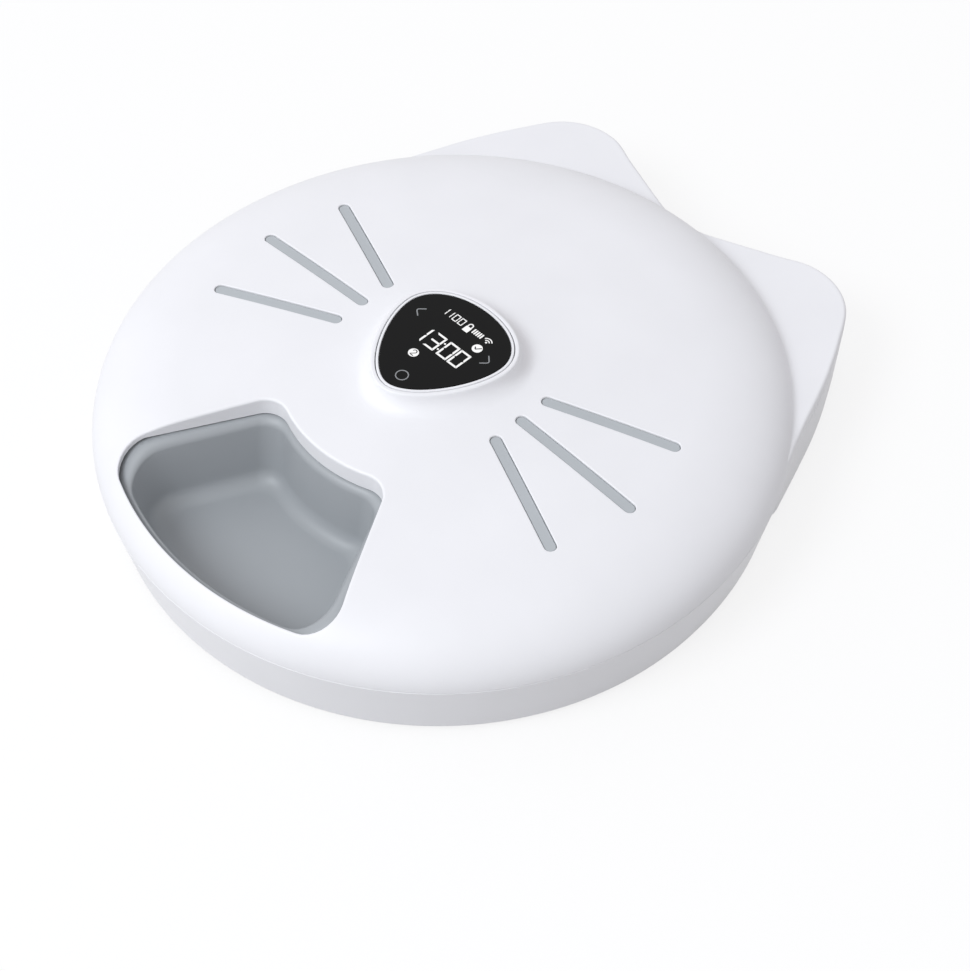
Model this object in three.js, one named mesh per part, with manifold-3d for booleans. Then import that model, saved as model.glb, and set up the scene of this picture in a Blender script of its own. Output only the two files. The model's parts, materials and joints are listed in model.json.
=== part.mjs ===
// An automatic six-meal pet feeder: a domed lid with ears over a turning tray with six
// compartments. Millimetres, +Z up. The meal opening faces -Y and the ears stand at +Y.
// Everything is built round the tray's axis, and the last step moves the whole feeder so
// that its origin is the middle of its footprint, on the surface that it stands on.
import * as THREE from 'three';
import { mergeVertices } from 'three/addons/utils/BufferGeometryUtils.js';
import Module from 'manifold-3d';

const wasm = await Module();
wasm.setup();

// Overall form of the round body
const bodyRadius = 155;
const backStretchShare = 0.039;
const seamGap = 0.4;
const domeClearance = 9.4;
const domeSag = 5;
const rimRun = 42.4;
const rimFlatShare = 0.62;
const rimFullShare = 0.55;
const shellWall = 2.8;
const touchGap = 0.3;
const overrun = 2;

// Ears, whose plan points are shares of the body radius and run from front to back
const earRise = 6;
const earEdgeRound = 1.6;
const earDraftShare = 0.2;
const earOutlineShares = [
  [0.85, 0.53], [0.806, 0.66], [0.739, 0.839], [0.664, 0.994], [0.596, 1.106],
  [0.51, 1.163], [0.406, 1.172], [0.288, 1.126], [0.088, 1.049], [0, 1.016],
];
const earRootShares = [[0.1, 0.6], [0.5, 0.3]];

// Base pan
const footProud = 2;
const panFloor = 2.6;
const panWall = 2.6;
const panDraft = 6;
const panBottomRound = 3;

// Meal opening in the lid, an annular sector with rounded corners
const openingInnerMargin = 2.5;
const openingOuterMargin = 3.3;
const openingHalfAngle = 28.7;
const openingCornerInner = 11;
const openingCornerOuter = 14;
const lipDrop = 11.4;

// Whisker slots on the right side, whose outer ends are at shares of the body radius
const slotWidth = 5.5;
const midSlotInner = 47.4;
const midSlotOuterShare = 0.745;
const sideSlotInnerX = 47.7;
const sideSlotInnerY = 14.6;
const sideSlotOuterShares = [0.686, 0.251];
const inlayRecess = 0.7;
const inlayPlate = 1.6;
const inlayMargin = 4;

// Console, shaped like a cat's nose, and the lid's neck round it
const noseHalfWidth = 28.3;
const noseBack = 28.2;
const noseFront = 31;
const noseWideY = 9;
const noseBackRoundShare = 0.56;
const noseSideRoundShare = 0.6;
const noseFlankShare = 0.4;
const noseTipShare = 0.42;
const consoleRise = 8.2;
const glassThick = 1.5;
const bezelWidth = 1.5;
const glassGap = 0.3;
const consoleGap = 0.4;
const consoleLedge = 1.4;
const consoleFloor = 2;
const neckLip = 2;
const neckFillet = 7;
const neckEdgeRound = 0.8;
const neckSink = 0.8;
const neckTurnShares = [1, 0.65, 0.3, 0];

// Tray
const compartments = 6;
const trayLipGap = 0.8;
const trayWall = 2;
const trayCover = 1.6;
const trayEdgeDrop = 10.2;
const traySeamRise = 6;
const trayClearance = 0.5;
const trayLipDepth = 3;
const pocketSetback = 8;
const pocketHalfAngle = 26.2;
const pocketCornerShares = [0.158, 0.23];
const pocketFloorRise = 1;
const pocketDraft = 2.6;
const pocketBottomRound = 8;
const rimRound = 4.2;
const rimTurnShares = [0.5, 1];
const bottomTurnSteps = 2;

// Turntable with its internal gear, and the pinion that drives it
const gearModule = 2;
const ringTeeth = 60;
const pinionTeeth = 12;
const gearDrop = 2.4;
const gearRimWidth = 6;
const trackThick = 3;
const trackWidth = 7;
const lugCount = 3;
const lugFirstAngle = 30;
const lugWidth = 8;
const lugHeight = 3;
const lugWall = 1.6;
const lugClearance = 0.4;
const pinionEndGap = 0.4;
const pinionShelfGap = 2.2;
const toothFillShare = 0.42;
const tipClearShare = 0.25;
const flankShare = 0.36;

// Support rollers
const rollerCount = 3;
const rollerFirstAngle = 90;
const rollerRadius = 4;
const rollerWidth = 4;
const axleRadius = 1.2;
const axleLength = 9;
const axleClearance = 0.3;
const cheekWidth = 6;
const cheekThick = 2;
const cheekGap = 0.4;
const outerCheekGap = 2;

// Chassis: inner bowl, tower and deck
const bowlFloorGap = 1.3;
const bowlFloorThick = 2.1;
const bowlTaper = 7;
const bowlCornerRise = 3;
const bowlRimInset = 7;
const bowlWall = 2;
const deckThick = 2;
const deckSink = 0.8;
const deckGap = 0.5;
const towerGap = 0.5;
const towerWall = 2;
const towerChamfer = 3;
const windowMargin = 1;
const windowRoof = 0.6;
const windowDrop = 6;
const shelfBayGap = 1.6;
const shelfThick = 2;
const shelfMargin = 1;
const postRadius = 4;
const postSink = 0.1;
const postShelfGap = 2.6;
const postAngle = 45;
const postCount = 4;
const earPostRadius = 7.5;
const earPostShares = [0.484, 0.974];

// Gear motor
const motorRadius = 14;
const motorHeight = 19;
const motorOffset = 8;
const motorEarReach = 17.5;
const motorEarHalfWidth = 3.5;
const motorEarThick = 1;
const motorBossRadius = 4.6;
const motorBossDepth = 1.5;
const motorLeadBlock = 5;
const shaftRadius = 2.4;
const shaftInsert = 6;
const shaftClearance = 0.3;

// Screws
const screwRadius = 1.4;
const screwHeadRadius = 2.8;
const screwHead = 1.2;
const panScrewLength = 13;
const smallScrewLength = 5;

// Magnets and index sensor
const magnetRadius = 5;
const magnetThick = 2.4;
const indexMagnetRadius = 2.4;
const indexMagnetThick = 2;
const sensorWidth = 8;
const sensorDepth = 6;
const sensorHeight = 4;

// Battery bay and its door
const cellRadius = 7.1;
const cellLength = 49;
const cellNub = 1.5;
const cellNubRadius = 2.7;
const cellPitch = 14.8;
const cellCount = 4;
const cellFloorGap = 0.3;
const bayWall = 1.6;
const bayEndGap = 1.4;
const contactThick = 0.8;
const contactHeight = 11;
const doorThick = 2.2;
const doorEdgeGap = 0.4;
const doorHingeInset = 6;
const hingePinRadius = 0.8;
const hingePinReach = 1.4;
const hingeAxisRise = 1.4;
const hingeClear = 0.3;
const gripWidth = 16;
const gripDepth = 4;
const gripCut = 1;

// Boards
const boardThick = 1.6;
const boardMotorGap = 2.7;
const boardRoom = 9.8;
const mainBoardHalfX = 38;
const mainBoardHalfY = 31;
const boardCorner = 5;
const boardPostInset = 5;
const boardPostRadius = 3.4;
const radioX = -16;
const radioY = -14;
const radioWidth = 16;
const radioLength = 20;
const radioHeight = 2.4;
const buzzerRadius = 6;
const buzzerHeight = 5;
const buzzerX = -20;
const buzzerY = 16;

// Console inside
const displayDrop = 9.2;
const displayInset = 2;
const consolePostX = 15;
const consolePostY = 6;
const consolePostRadius = 3.2;
const ribbonWidth = 12;
const ribbonThick = 0.6;
const ribbonY = 19;
const ribbonSlotGap = 1;

// Back wall: inlet, button and their board
const inletX = -14;
const buttonX = 14;
const inletHeight = 17;
const socketHalfWidth = 4.5;
const socketHalfHeight = 1.7;
const socketWall = 0.4;
const socketInset = 0.6;
const inletBoardHalf = 24;
const inletBoardLow = 7;
const inletBoardHigh = 27;
const inletBoardGap = 0.6;
const railGrip = 2;
const railWall = 1.2;
const railHigh = 22;
const buttonRadius = 4.6;
const buttonProud = 1;
const buttonTravel = 1.2;
const buttonFlange = 1.4;
const buttonFlangeThick = 1;
const switchHalf = 3;
const leadWidth = 5;
const leadThick = 0.6;
const leadX = 0;
const leadTurnY = 47;
const leadEndRise = 8;
const leadNotch = 1;

// Feet, seal and ice packs
const footRadius = 9;
const footRecess = 1;
const footInset = 24;
const footAngles = [-125, -55, 40, 140];
const sealWidth = 2;
const sealHeight = 2.4;
const sealRibWall = 1.6;
const packInnerGap = 5.5;
const packOuterGap = 3;
const packHalfAngle = 78;
const packCorner = 12;
const packHeadroom = 2.4;
const packEdge = 1.5;

// Steps of round shapes
const roundSteps = 48;
const smallSteps = 12;
const rimSteps = 5;
const edgeSteps = 3;
const holeSteps = 8;
const domeSteps = 3;
const earSteps = 20;
const noseSteps = 7;
const cornerSteps = 3;
const arcSteps = 4;
const halvings = 30;
const weldDistance = 0.0001;

// Values worked out from the ones above: the base, up to the motor's shelf
const fullTurn = 360;
const toRadians = Math.PI / (fullTurn / 2);
const panTop = footProud + panFloor;
const panScrewSeat = footProud + screwHead + 2 * touchGap;
const footReach = bodyRadius - footInset;
const bowlRimRadius = bodyRadius - bowlRimInset;
const bowlFootRadius = bowlRimRadius - bowlTaper;
const bowlFloorLow = panTop + bowlFloorGap;
const bowlFloorHigh = bowlFloorLow + bowlFloorThick;
const bayHalfX = (cellCount * cellPitch) / 2 + touchGap;
const bayHalfY = (cellLength + cellNub) / 2 + bayEndGap;
const bayHigh = panTop + cellFloorGap + 2 * cellRadius + touchGap;
const bayRoof = bayHigh + bayWall;
const pinHingeY = -bayHalfY - doorHingeInset;
const shelfLow = bayRoof + shelfBayGap;
const shelfHigh = shelfLow + shelfThick;

// The drive: pinion, turntable, rollers and tower
const ringPitchRadius = (gearModule * ringTeeth) / 2;
const pinionPitchRadius = (gearModule * pinionTeeth) / 2;
const pinionX = ringPitchRadius - pinionPitchRadius;
const pinionHigh = shelfLow - pinionShelfGap;
const turntableTop = pinionHigh - pinionEndGap;
const turntableLow = turntableTop - trackThick;
const gearLow = turntableLow - gearDrop;
const pinionLow = gearLow + pinionEndGap;
const gearRim = ringPitchRadius + gearRimWidth;
const turntableOuter = gearRim + trackWidth;
const rollerPath = gearRim + trackWidth / 2;
const rollerAxisHeight = turntableLow - touchGap - rollerRadius;
const cheekTop = gearLow - cheekGap;
const outerCheekTop = turntableLow - outerCheekGap;
const towerRadius = ringPitchRadius - gearModule - towerGap;
const towerInner = towerRadius - towerWall;
const windowHalfWidth = pinionPitchRadius + windowMargin;
const windowTop = shelfLow - windowRoof;
const windowLow = pinionLow - windowDrop;
const motorX = pinionX - motorOffset;
const motorTop = shelfHigh + touchGap + motorHeight;
const shelfFront = motorX - motorRadius - shelfMargin;
const postReach = towerInner - postRadius + postSink;
const postHeight = shelfLow - postShelfGap;

// The heights above the motor: board, tower, dome, tray, seam, deck and ears
const mainBoardLow = motorTop + boardMotorGap;
const mainBoardHigh = mainBoardLow + boardThick;
const towerHeight = mainBoardHigh + boardRoom;
const deckUnderside = towerHeight - towerWall;
const domeHeight = towerHeight + domeClearance;
const lipHeight = domeHeight - lipDrop;
const trayTop = lipHeight - trayLipGap;
const trayEdgeHeight = trayTop - trayEdgeDrop;
const seamHeight = trayEdgeHeight - trayLipDepth - traySeamRise;
const widestHeight = seamHeight - seamGap;
const lidLow = seamHeight + seamGap / 2;
const panHigh = seamHeight - seamGap / 2;
const deckHigh = seamHeight - deckSink;
const deckLow = deckHigh - deckThick;
const bowlWallFoot = bowlFloorLow + bowlCornerRise;
const bowlWallRadius = bowlFootRadius + bowlCornerRise;
const bowlLeanShare = (inletBoardHigh - bowlWallFoot) / (deckLow - bowlWallFoot);
const bowlBehindBoard = bowlWallRadius + (bowlRimRadius - bowlWallRadius) * bowlLeanShare;
const inletBoardBack = bowlBehindBoard + inletBoardGap + boardThick;
const sealHigh = deckHigh + touchGap + sealHeight;
const sealMiddle = bowlRimRadius + bowlWall;
const earTopHeight = seamHeight + earRise;
const rimStart = bodyRadius - rimRun;
const rimRise = domeHeight - domeSag - widestHeight;
const capSlope = (2 * domeSag) / rimStart;

// Tray, meal opening, ice packs and whisker slots
const trayBore = gearRim;
const pocketInner = trayBore + pocketSetback;
const pocketOuter = bowlRimRadius - bowlWall - trayClearance - trayWall;
const pocketFloor = turntableTop + pocketFloorRise;
const [pocketCornerInner, pocketCornerOuter] = pocketCornerShares.map((share) => (
  share * (pocketOuter - pocketInner)
));
const openingInner = pocketInner - openingInnerMargin;
const openingOuter = pocketOuter + openingOuterMargin;
const packInner = turntableOuter + packInnerGap;
const packOuter = bowlFootRadius - packOuterGap;
const packHigh = pocketFloor - trayWall - packHeadroom;
const midSlotOuter = bodyRadius * midSlotOuterShare;
const [sideSlotOuterX, sideSlotOuterY] = sideSlotOuterShares.map((share) => share * bodyRadius);

// Console, ear posts with their magnets, and the main board's posts
const housingGrow = bezelWidth;
const neckHoleGrow = housingGrow + consoleGap;
const neckGrow = neckHoleGrow + neckLip;
const neckFoot = domeHeight - neckSink;
const glassTop = domeHeight + consoleRise;
const displayBoardLow = glassTop - displayDrop;
const consoleLow = towerHeight + touchGap;
const [earPostX, earPostY] = earPostShares.map((share) => share * bodyRadius);
const lidMagnetHigh = earTopHeight - shellWall - touchGap;
const postMagnetHigh = deckHigh + touchGap;
const boardPostX = mainBoardHalfX - boardPostInset;
const boardPostY = mainBoardHalfY - boardPostInset;

// Turns a closed three.js geometry into a solid for joining and cutting
function solidOf(geometry) {
  const bare = geometry.clone();
  bare.deleteAttribute('normal');
  bare.deleteAttribute('uv');
  const merged = mergeVertices(bare, weldDistance);
  const index = merged.index.array;
  const kept = [];
  for (let i = 0; i < index.length; i += 3) {
    const [a, b, c] = [index[i], index[i + 1], index[i + 2]];
    if (a !== b && b !== c && c !== a) kept.push(a, b, c);
  }
  return new wasm.Manifold(new wasm.Mesh({
    numProp: 3,
    vertProperties: new Float32Array(merged.attributes.position.array),
    triVerts: new Uint32Array(kept),
  }));
}

// Turns a solid back into a three.js geometry
function geometryOf(solid) {
  const mesh = solid.getMesh();
  const geometry = new THREE.BufferGeometry();
  geometry.setAttribute('position', new THREE.BufferAttribute(mesh.vertProperties, 3));
  geometry.setIndex(new THREE.BufferAttribute(mesh.triVerts, 1));
  const flat = geometry.toNonIndexed();
  flat.computeVertexNormals();
  return flat;
}

function join(...solids) {
  return solids.reduce((whole, next) => whole.add(next));
}

// Signed area of a closed outline, positive when it runs anticlockwise
function signedArea(points) {
  return THREE.ShapeUtils.area(points);
}

// A round solid about Z from a closed profile of [radius, height] points
function turned(profile, steps = roundSteps) {
  const points = profile.map(([radius, height]) => new THREE.Vector2(radius, height));
  if (signedArea(points) < 0) points.reverse();
  points.push(points[0].clone());
  const geometry = new THREE.LatheGeometry(points, steps);
  geometry.rotateX(Math.PI / 2);
  return geometry;
}

function cylinder(radius, low, high, x = 0, y = 0, steps = smallSteps) {
  const geometry = new THREE.CylinderGeometry(radius, radius, high - low, steps);
  geometry.rotateX(Math.PI / 2);
  geometry.translate(x, y, (low + high) / 2);
  return geometry;
}

// A cylinder about an axis along X, centred on the origin
function crossPin(radius, length, steps = smallSteps / 2) {
  const geometry = new THREE.CylinderGeometry(radius, radius, length, steps);
  geometry.rotateZ(Math.PI / 2);
  return geometry;
}

function block(lowX, highX, lowY, highY, lowZ, highZ) {
  const geometry = new THREE.BoxGeometry(highX - lowX, highY - lowY, highZ - lowZ);
  geometry.translate((lowX + highX) / 2, (lowY + highY) / 2, (lowZ + highZ) / 2);
  return geometry;
}

// A straight-walled solid between two heights
function prism(outline, low, high, holes = []) {
  const shape = new THREE.Shape(outline);
  holes.forEach((hole) => shape.holes.push(new THREE.Path(hole)));
  const geometry = new THREE.ExtrudeGeometry(shape, { depth: high - low, bevelEnabled: false });
  geometry.translate(0, 0, low);
  return geometry;
}

// A solid whose plan outline changes with height: levels of { outline, height }, low to high
function loft(levels) {
  const count = levels[0].outline.length;
  const positions = [];
  const index = [];
  levels.forEach(({ outline, height }) => {
    outline.forEach((point) => positions.push(point.x, point.y, height));
  });
  for (let level = 0; level + 1 < levels.length; level += 1) {
    for (let i = 0; i < count; i += 1) {
      const a = level * count + i;
      const b = level * count + ((i + 1) % count);
      index.push(a, b, b + count, a, b + count, a + count);
    }
  }
  const top = (levels.length - 1) * count;
  THREE.ShapeUtils.triangulateShape(levels[0].outline, []).forEach(([a, b, c]) => {
    index.push(a, c, b);
  });
  THREE.ShapeUtils.triangulateShape(levels[levels.length - 1].outline, []).forEach(([a, b, c]) => {
    index.push(top + a, top + b, top + c);
  });
  const geometry = new THREE.BufferGeometry();
  geometry.setAttribute('position', new THREE.Float32BufferAttribute(positions, 3));
  geometry.setIndex(index);
  return geometry;
}

// Moves each point of an anticlockwise outline outwards along its normal
function grown(outline, amount, closed = true) {
  const count = outline.length;
  return outline.map((point, i) => {
    const before = closed ? outline[(i + count - 1) % count] : outline[Math.max(i - 1, 0)];
    const after = closed ? outline[(i + 1) % count] : outline[Math.min(i + 1, count - 1)];
    const along = after.clone().sub(before).normalize();
    return new THREE.Vector2(point.x + along.y * amount, point.y - along.x * amount);
  });
}

// The body's back half is a little longer than a half circle
function stretchBack(geometry, fromRadius = 0) {
  const position = geometry.getAttribute('position');
  for (let i = 0; i < position.count; i += 1) {
    const y = position.getY(i);
    const far = Math.hypot(position.getX(i), y) > fromRadius;
    if (y > 0 && far) position.setY(i, y * (1 + backStretchShare));
  }
  return geometry;
}

// The dome's section outside its cap: one curve from the cap's slope down to the upright rim
const rimFlat = rimRun * rimFlatShare;
const rimCurve = new THREE.CubicBezierCurve(
  new THREE.Vector2(rimStart, domeHeight - domeSag),
  new THREE.Vector2(rimStart + rimFlat, domeHeight - domeSag - capSlope * rimFlat),
  new THREE.Vector2(bodyRadius, widestHeight + rimRise * rimFullShare),
  new THREE.Vector2(bodyRadius, widestHeight),
);

// A point at a share of that curve, moved inwards by a depth: [radius, height]
function rimPoint(share, depth) {
  const point = rimCurve.getPoint(share);
  const along = rimCurve.getTangent(share);
  return [point.x + along.y * depth, point.y - along.x * depth];
}

// The share at which the curve, moved inwards by a depth, comes down to a level
function rimShareAt(level, depth) {
  let near = 0;
  let far = 1;
  for (let i = 0; i < halvings; i += 1) {
    const middle = (near + far) / 2;
    if (rimPoint(middle, depth)[1] > level) near = middle;
    else far = middle;
  }
  return far;
}

// The dome's solid, sunk by a depth below the outer face, from a height upwards
function domeSolid(depth, low) {
  const lowShare = rimShareAt(low, depth);
  const profile = [[0, low]];
  if (low < widestHeight) profile.push([rimPoint(1, depth)[0], low]);
  for (let i = 0; i <= rimSteps; i += 1) {
    profile.push(rimPoint(lowShare * (1 - i / rimSteps), depth));
  }
  const [capRadius, capEdge] = rimPoint(0, depth);
  const capRise = domeHeight - depth - capEdge;
  for (let i = 1; i <= domeSteps; i += 1) {
    const share = 1 - i / domeSteps;
    profile.push([capRadius * share, capEdge + capRise * (1 - share * share)]);
  }
  return solidOf(stretchBack(turned(profile)));
}

// Half of the ears' outline is mirrored for the other side
function earOutline(side, inset) {
  const run = earOutlineShares.map(([x, y]) => new THREE.Vector2(x * bodyRadius, y * bodyRadius));
  const edge = new THREE.SplineCurve(run).getPoints(earSteps);
  const root = earRootShares.map(([x, y]) => new THREE.Vector2(x * bodyRadius, y * bodyRadius));
  const outline = [...grown(edge, -inset, false), ...root];
  if (side > 0) return outline;
  return outline.map((point) => new THREE.Vector2(-point.x, point.y)).reverse();
}

function earSolid(side, levels) {
  return solidOf(loft(levels.map(([inset, height]) => ({ outline: earOutline(side, inset), height }))));
}

function onCircle(centre, radius, turn) {
  return new THREE.Vector2(Math.cos(turn), Math.sin(turn)).multiplyScalar(radius).add(centre);
}

// An annular sector centred on -Y, with rounded corners, shrunk by an inset on every side
function sector(inner, outer, halfAngle, cornerInner, cornerOuter, inset, arcs = arcSteps) {
  const low = inner + inset;
  const high = outer - inset;
  const half = halfAngle * toRadians;
  const side = new THREE.Vector2(Math.sin(half), -Math.cos(half));
  const inward = new THREE.Vector2(-Math.cos(half), -Math.sin(half));
  const outerRun = Math.sqrt((high - cornerOuter) ** 2 - (inset + cornerOuter) ** 2);
  const innerRun = Math.sqrt((low + cornerInner) ** 2 - (inset + cornerInner) ** 2);
  const outerCentre = side.clone().multiplyScalar(outerRun).addScaledVector(inward, inset + cornerOuter);
  const innerCentre = side.clone().multiplyScalar(innerRun).addScaledVector(inward, inset + cornerInner);
  const angleOf = (vector) => Math.atan2(vector.y, vector.x);
  const across = angleOf(inward.clone().negate());
  const right = [];
  const outerEnd = angleOf(outerCentre);
  for (let i = 0; i <= arcs / 2; i += 1) {
    const turn = -Math.PI / 2 + ((outerEnd + Math.PI / 2) * 2 * i) / arcs;
    if (i < arcs / 2) right.push(new THREE.Vector2(high * Math.cos(turn), high * Math.sin(turn)));
  }
  for (let i = 0; i <= cornerSteps; i += 1) {
    const turn = outerEnd + ((across - outerEnd) * i) / cornerSteps;
    right.push(onCircle(outerCentre, cornerOuter, turn));
  }
  const innerEnd = angleOf(innerCentre);
  for (let i = 0; i <= cornerSteps; i += 1) {
    const turn = across + ((innerEnd + Math.PI - across) * i) / cornerSteps;
    right.push(onCircle(innerCentre, cornerInner, turn));
  }
  for (let i = 1; i <= arcs / 2; i += 1) {
    const turn = innerEnd + ((-Math.PI / 2 - innerEnd) * 2 * i) / arcs;
    right.push(new THREE.Vector2(low * Math.cos(turn), low * Math.sin(turn)));
  }
  const left = right.slice(1, -1).map((point) => new THREE.Vector2(-point.x, point.y)).reverse();
  return [...right, ...left];
}

// The nose-shaped outline of the console glass, grown by an amount
function noseOutline(amount) {
  const back = new THREE.CubicBezierCurve(
    new THREE.Vector2(noseHalfWidth, noseWideY),
    new THREE.Vector2(noseHalfWidth, noseWideY + (noseBack - noseWideY) * noseSideRoundShare),
    new THREE.Vector2(noseHalfWidth * noseBackRoundShare, noseBack),
    new THREE.Vector2(0, noseBack),
  ).getPoints(noseSteps);
  const front = new THREE.CubicBezierCurve(
    new THREE.Vector2(0, -noseFront),
    new THREE.Vector2(noseHalfWidth * noseTipShare, -noseFront),
    new THREE.Vector2(noseHalfWidth, noseWideY - (noseFront + noseWideY) * noseFlankShare),
    new THREE.Vector2(noseHalfWidth, noseWideY),
  ).getPoints(noseSteps);
  const right = [...front, ...back.slice(1)];
  const left = right.slice(1, -1).map((point) => new THREE.Vector2(-point.x, point.y)).reverse();
  return grown([...right, ...left], amount);
}

// A slot with round ends between two far ends
function slotOutline(ax, ay, bx, by, width) {
  const along = new THREE.Vector2(bx - ax, by - ay).normalize();
  const heading = Math.atan2(along.y, along.x);
  const radius = width / 2;
  const reach = slotWidth / 2;
  const outline = [];
  [[bx, by, -1, 0], [ax, ay, 1, Math.PI]].forEach(([x, y, sign, flip]) => {
    const centre = new THREE.Vector2(x, y).addScaledVector(along, sign * reach);
    for (let i = 0; i <= cornerSteps; i += 1) {
      const turn = heading + flip - Math.PI / 2 + (Math.PI * i) / cornerSteps;
      outline.push(onCircle(centre, radius, turn));
    }
  });
  return outline;
}

function slotOutlines(side, width) {
  return [
    [midSlotInner, 0, midSlotOuter, 0],
    [sideSlotInnerX, sideSlotInnerY, sideSlotOuterX, sideSlotOuterY],
    [sideSlotInnerX, -sideSlotInnerY, sideSlotOuterX, -sideSlotOuterY],
  ].map(([ax, ay, bx, by]) => slotOutline(ax * side, ay, bx * side, by, width));
}

// A rectangle with rounded corners about a centre
function roundedRectangle(halfX, halfY, corner, x = 0, y = 0) {
  const outline = [];
  [[1, 1], [-1, 1], [-1, -1], [1, -1]].forEach(([signX, signY], quarter) => {
    for (let i = 0; i <= cornerSteps; i += 1) {
      const turn = (Math.PI / 2) * (quarter + i / cornerSteps);
      outline.push(new THREE.Vector2(
        x + signX * (halfX - corner) + corner * Math.cos(turn),
        y + signY * (halfY - corner) + corner * Math.sin(turn),
      ));
    }
  });
  return outline;
}

function circleOutline(radius, steps = roundSteps) {
  const outline = [];
  for (let i = 0; i < steps; i += 1) {
    const turn = (2 * Math.PI * i) / steps;
    outline.push(new THREE.Vector2(radius * Math.cos(turn), radius * Math.sin(turn)));
  }
  return outline;
}

// Gear outline with trapezium teeth, the first of them on +X
function gearOutline(teeth, rootRadius, tipRadius, fillShare) {
  const outline = [];
  const pitch = (2 * Math.PI) / teeth;
  const pitchRadius = (gearModule * teeth) / 2;
  const slope = flankShare / pitchRadius;
  for (let i = 0; i < teeth; i += 1) {
    const middle = pitch * i;
    const halfAt = (radius) => (pitch * fillShare) / 2 - (radius - pitchRadius) * slope;
    [[rootRadius, -1], [tipRadius, -1], [tipRadius, 1], [rootRadius, 1]].forEach(([radius, sign]) => {
      const turn = middle + sign * halfAt(radius);
      outline.push(new THREE.Vector2(radius * Math.cos(turn), radius * Math.sin(turn)));
    });
  }
  return outline;
}

function polar(radius, degrees) {
  return [radius * Math.cos(degrees * toRadians), radius * Math.sin(degrees * toRadians)];
}

// Materials
const plastic = (color, roughness) => new THREE.MeshStandardMaterial({ color, roughness, metalness: 0 });
const metal = (color, roughness) => new THREE.MeshStandardMaterial({ color, roughness, metalness: 1 });
const whiteShell = plastic(0xf2f4f6, 0.35);
const innerWhite = plastic(0xe6e8ea, 0.5);
const greyInlay = plastic(0xb5babd, 0.5);
const trayGrey = plastic(0x9a9fa3, 0.45);
const blackGlass = plastic(0x202122, 0.12);
const darkPlastic = plastic(0x2e3033, 0.5);
const gearPlastic = plastic(0xd9dad4, 0.45);
const rubber = plastic(0x6f7376, 0.85);
const softSeal = plastic(0xc9cdd0, 0.8);
const icePack = plastic(0xa9c6de, 0.4);
const boardGreen = plastic(0x1f5a3c, 0.6);
const steel = metal(0xb9bcc0, 0.35);
const nickel = metal(0xc8c6c0, 0.3);
const ribbonAmber = plastic(0xc98a3a, 0.5);
const cellWrap = plastic(0x3b4148, 0.45);

// The feeder's groups: what stands still, what turns and what lifts off
const feeder = new THREE.Group();
const base = new THREE.Group();
const carousel = new THREE.Group();
const lid = new THREE.Group();
feeder.add(base, carousel, lid);

function addPiece(group, name, shape, material) {
  const geometry = shape.isBufferGeometry ? shape : geometryOf(shape);
  const mesh = new THREE.Mesh(geometry, material.clone());
  mesh.name = name;
  group.add(mesh);
  return mesh;
}

// A screw with a low round head whose seat is at a height; it points up or down
function addScrew(name, x, y, seat, length, pointsUp) {
  const sign = pointsUp ? 1 : -1;
  const profile = [
    [0, -sign * screwHead],
    [screwHeadRadius, -sign * screwHead],
    [screwHeadRadius, 0],
    [screwRadius, 0],
    [screwRadius, sign * (length - screwRadius)],
    [0, sign * length],
  ];
  addPiece(base, name, turned(profile, holeSteps), steel).position.set(x, y, seat);
}

function screwHole(x, y, low, high) {
  return solidOf(cylinder(screwRadius + touchGap, low, high, x, y, holeSteps));
}

// Lid: dome and ear skins, hollow below, with neck, lip, opening, slots, console hole,
// a rib over the rim seal and a cup for the magnet in each ear
const earLevelsOutside = [
  [0, lidLow],
  [0, earTopHeight - earEdgeRound],
  [earEdgeRound * (1 - Math.cos(Math.PI / 4)), earTopHeight - earEdgeRound * (1 - Math.sin(Math.PI / 4))],
  [earEdgeRound, earTopHeight],
];
const earLevelsInside = [[shellWall, lidLow - overrun], [shellWall, earTopHeight - shellWall]];
const openingCut = (inset) => sector(
  openingInner, openingOuter, openingHalfAngle, openingCornerInner, openingCornerOuter, inset,
);

function neckSolid() {
  const levels = [{ outline: noseOutline(neckGrow + neckFillet), height: neckFoot - overrun }];
  neckTurnShares.forEach((share) => {
    const turn = (share * Math.PI) / 2;
    levels.push({
      outline: noseOutline(neckGrow + neckFillet * (1 - Math.cos(turn))),
      height: neckFoot + neckFillet * (1 - Math.sin(turn)),
    });
  });
  levels.push({ outline: noseOutline(neckGrow), height: glassTop - neckEdgeRound });
  levels.push({ outline: noseOutline(neckGrow - neckEdgeRound), height: glassTop });
  return solidOf(loft(levels));
}

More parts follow.
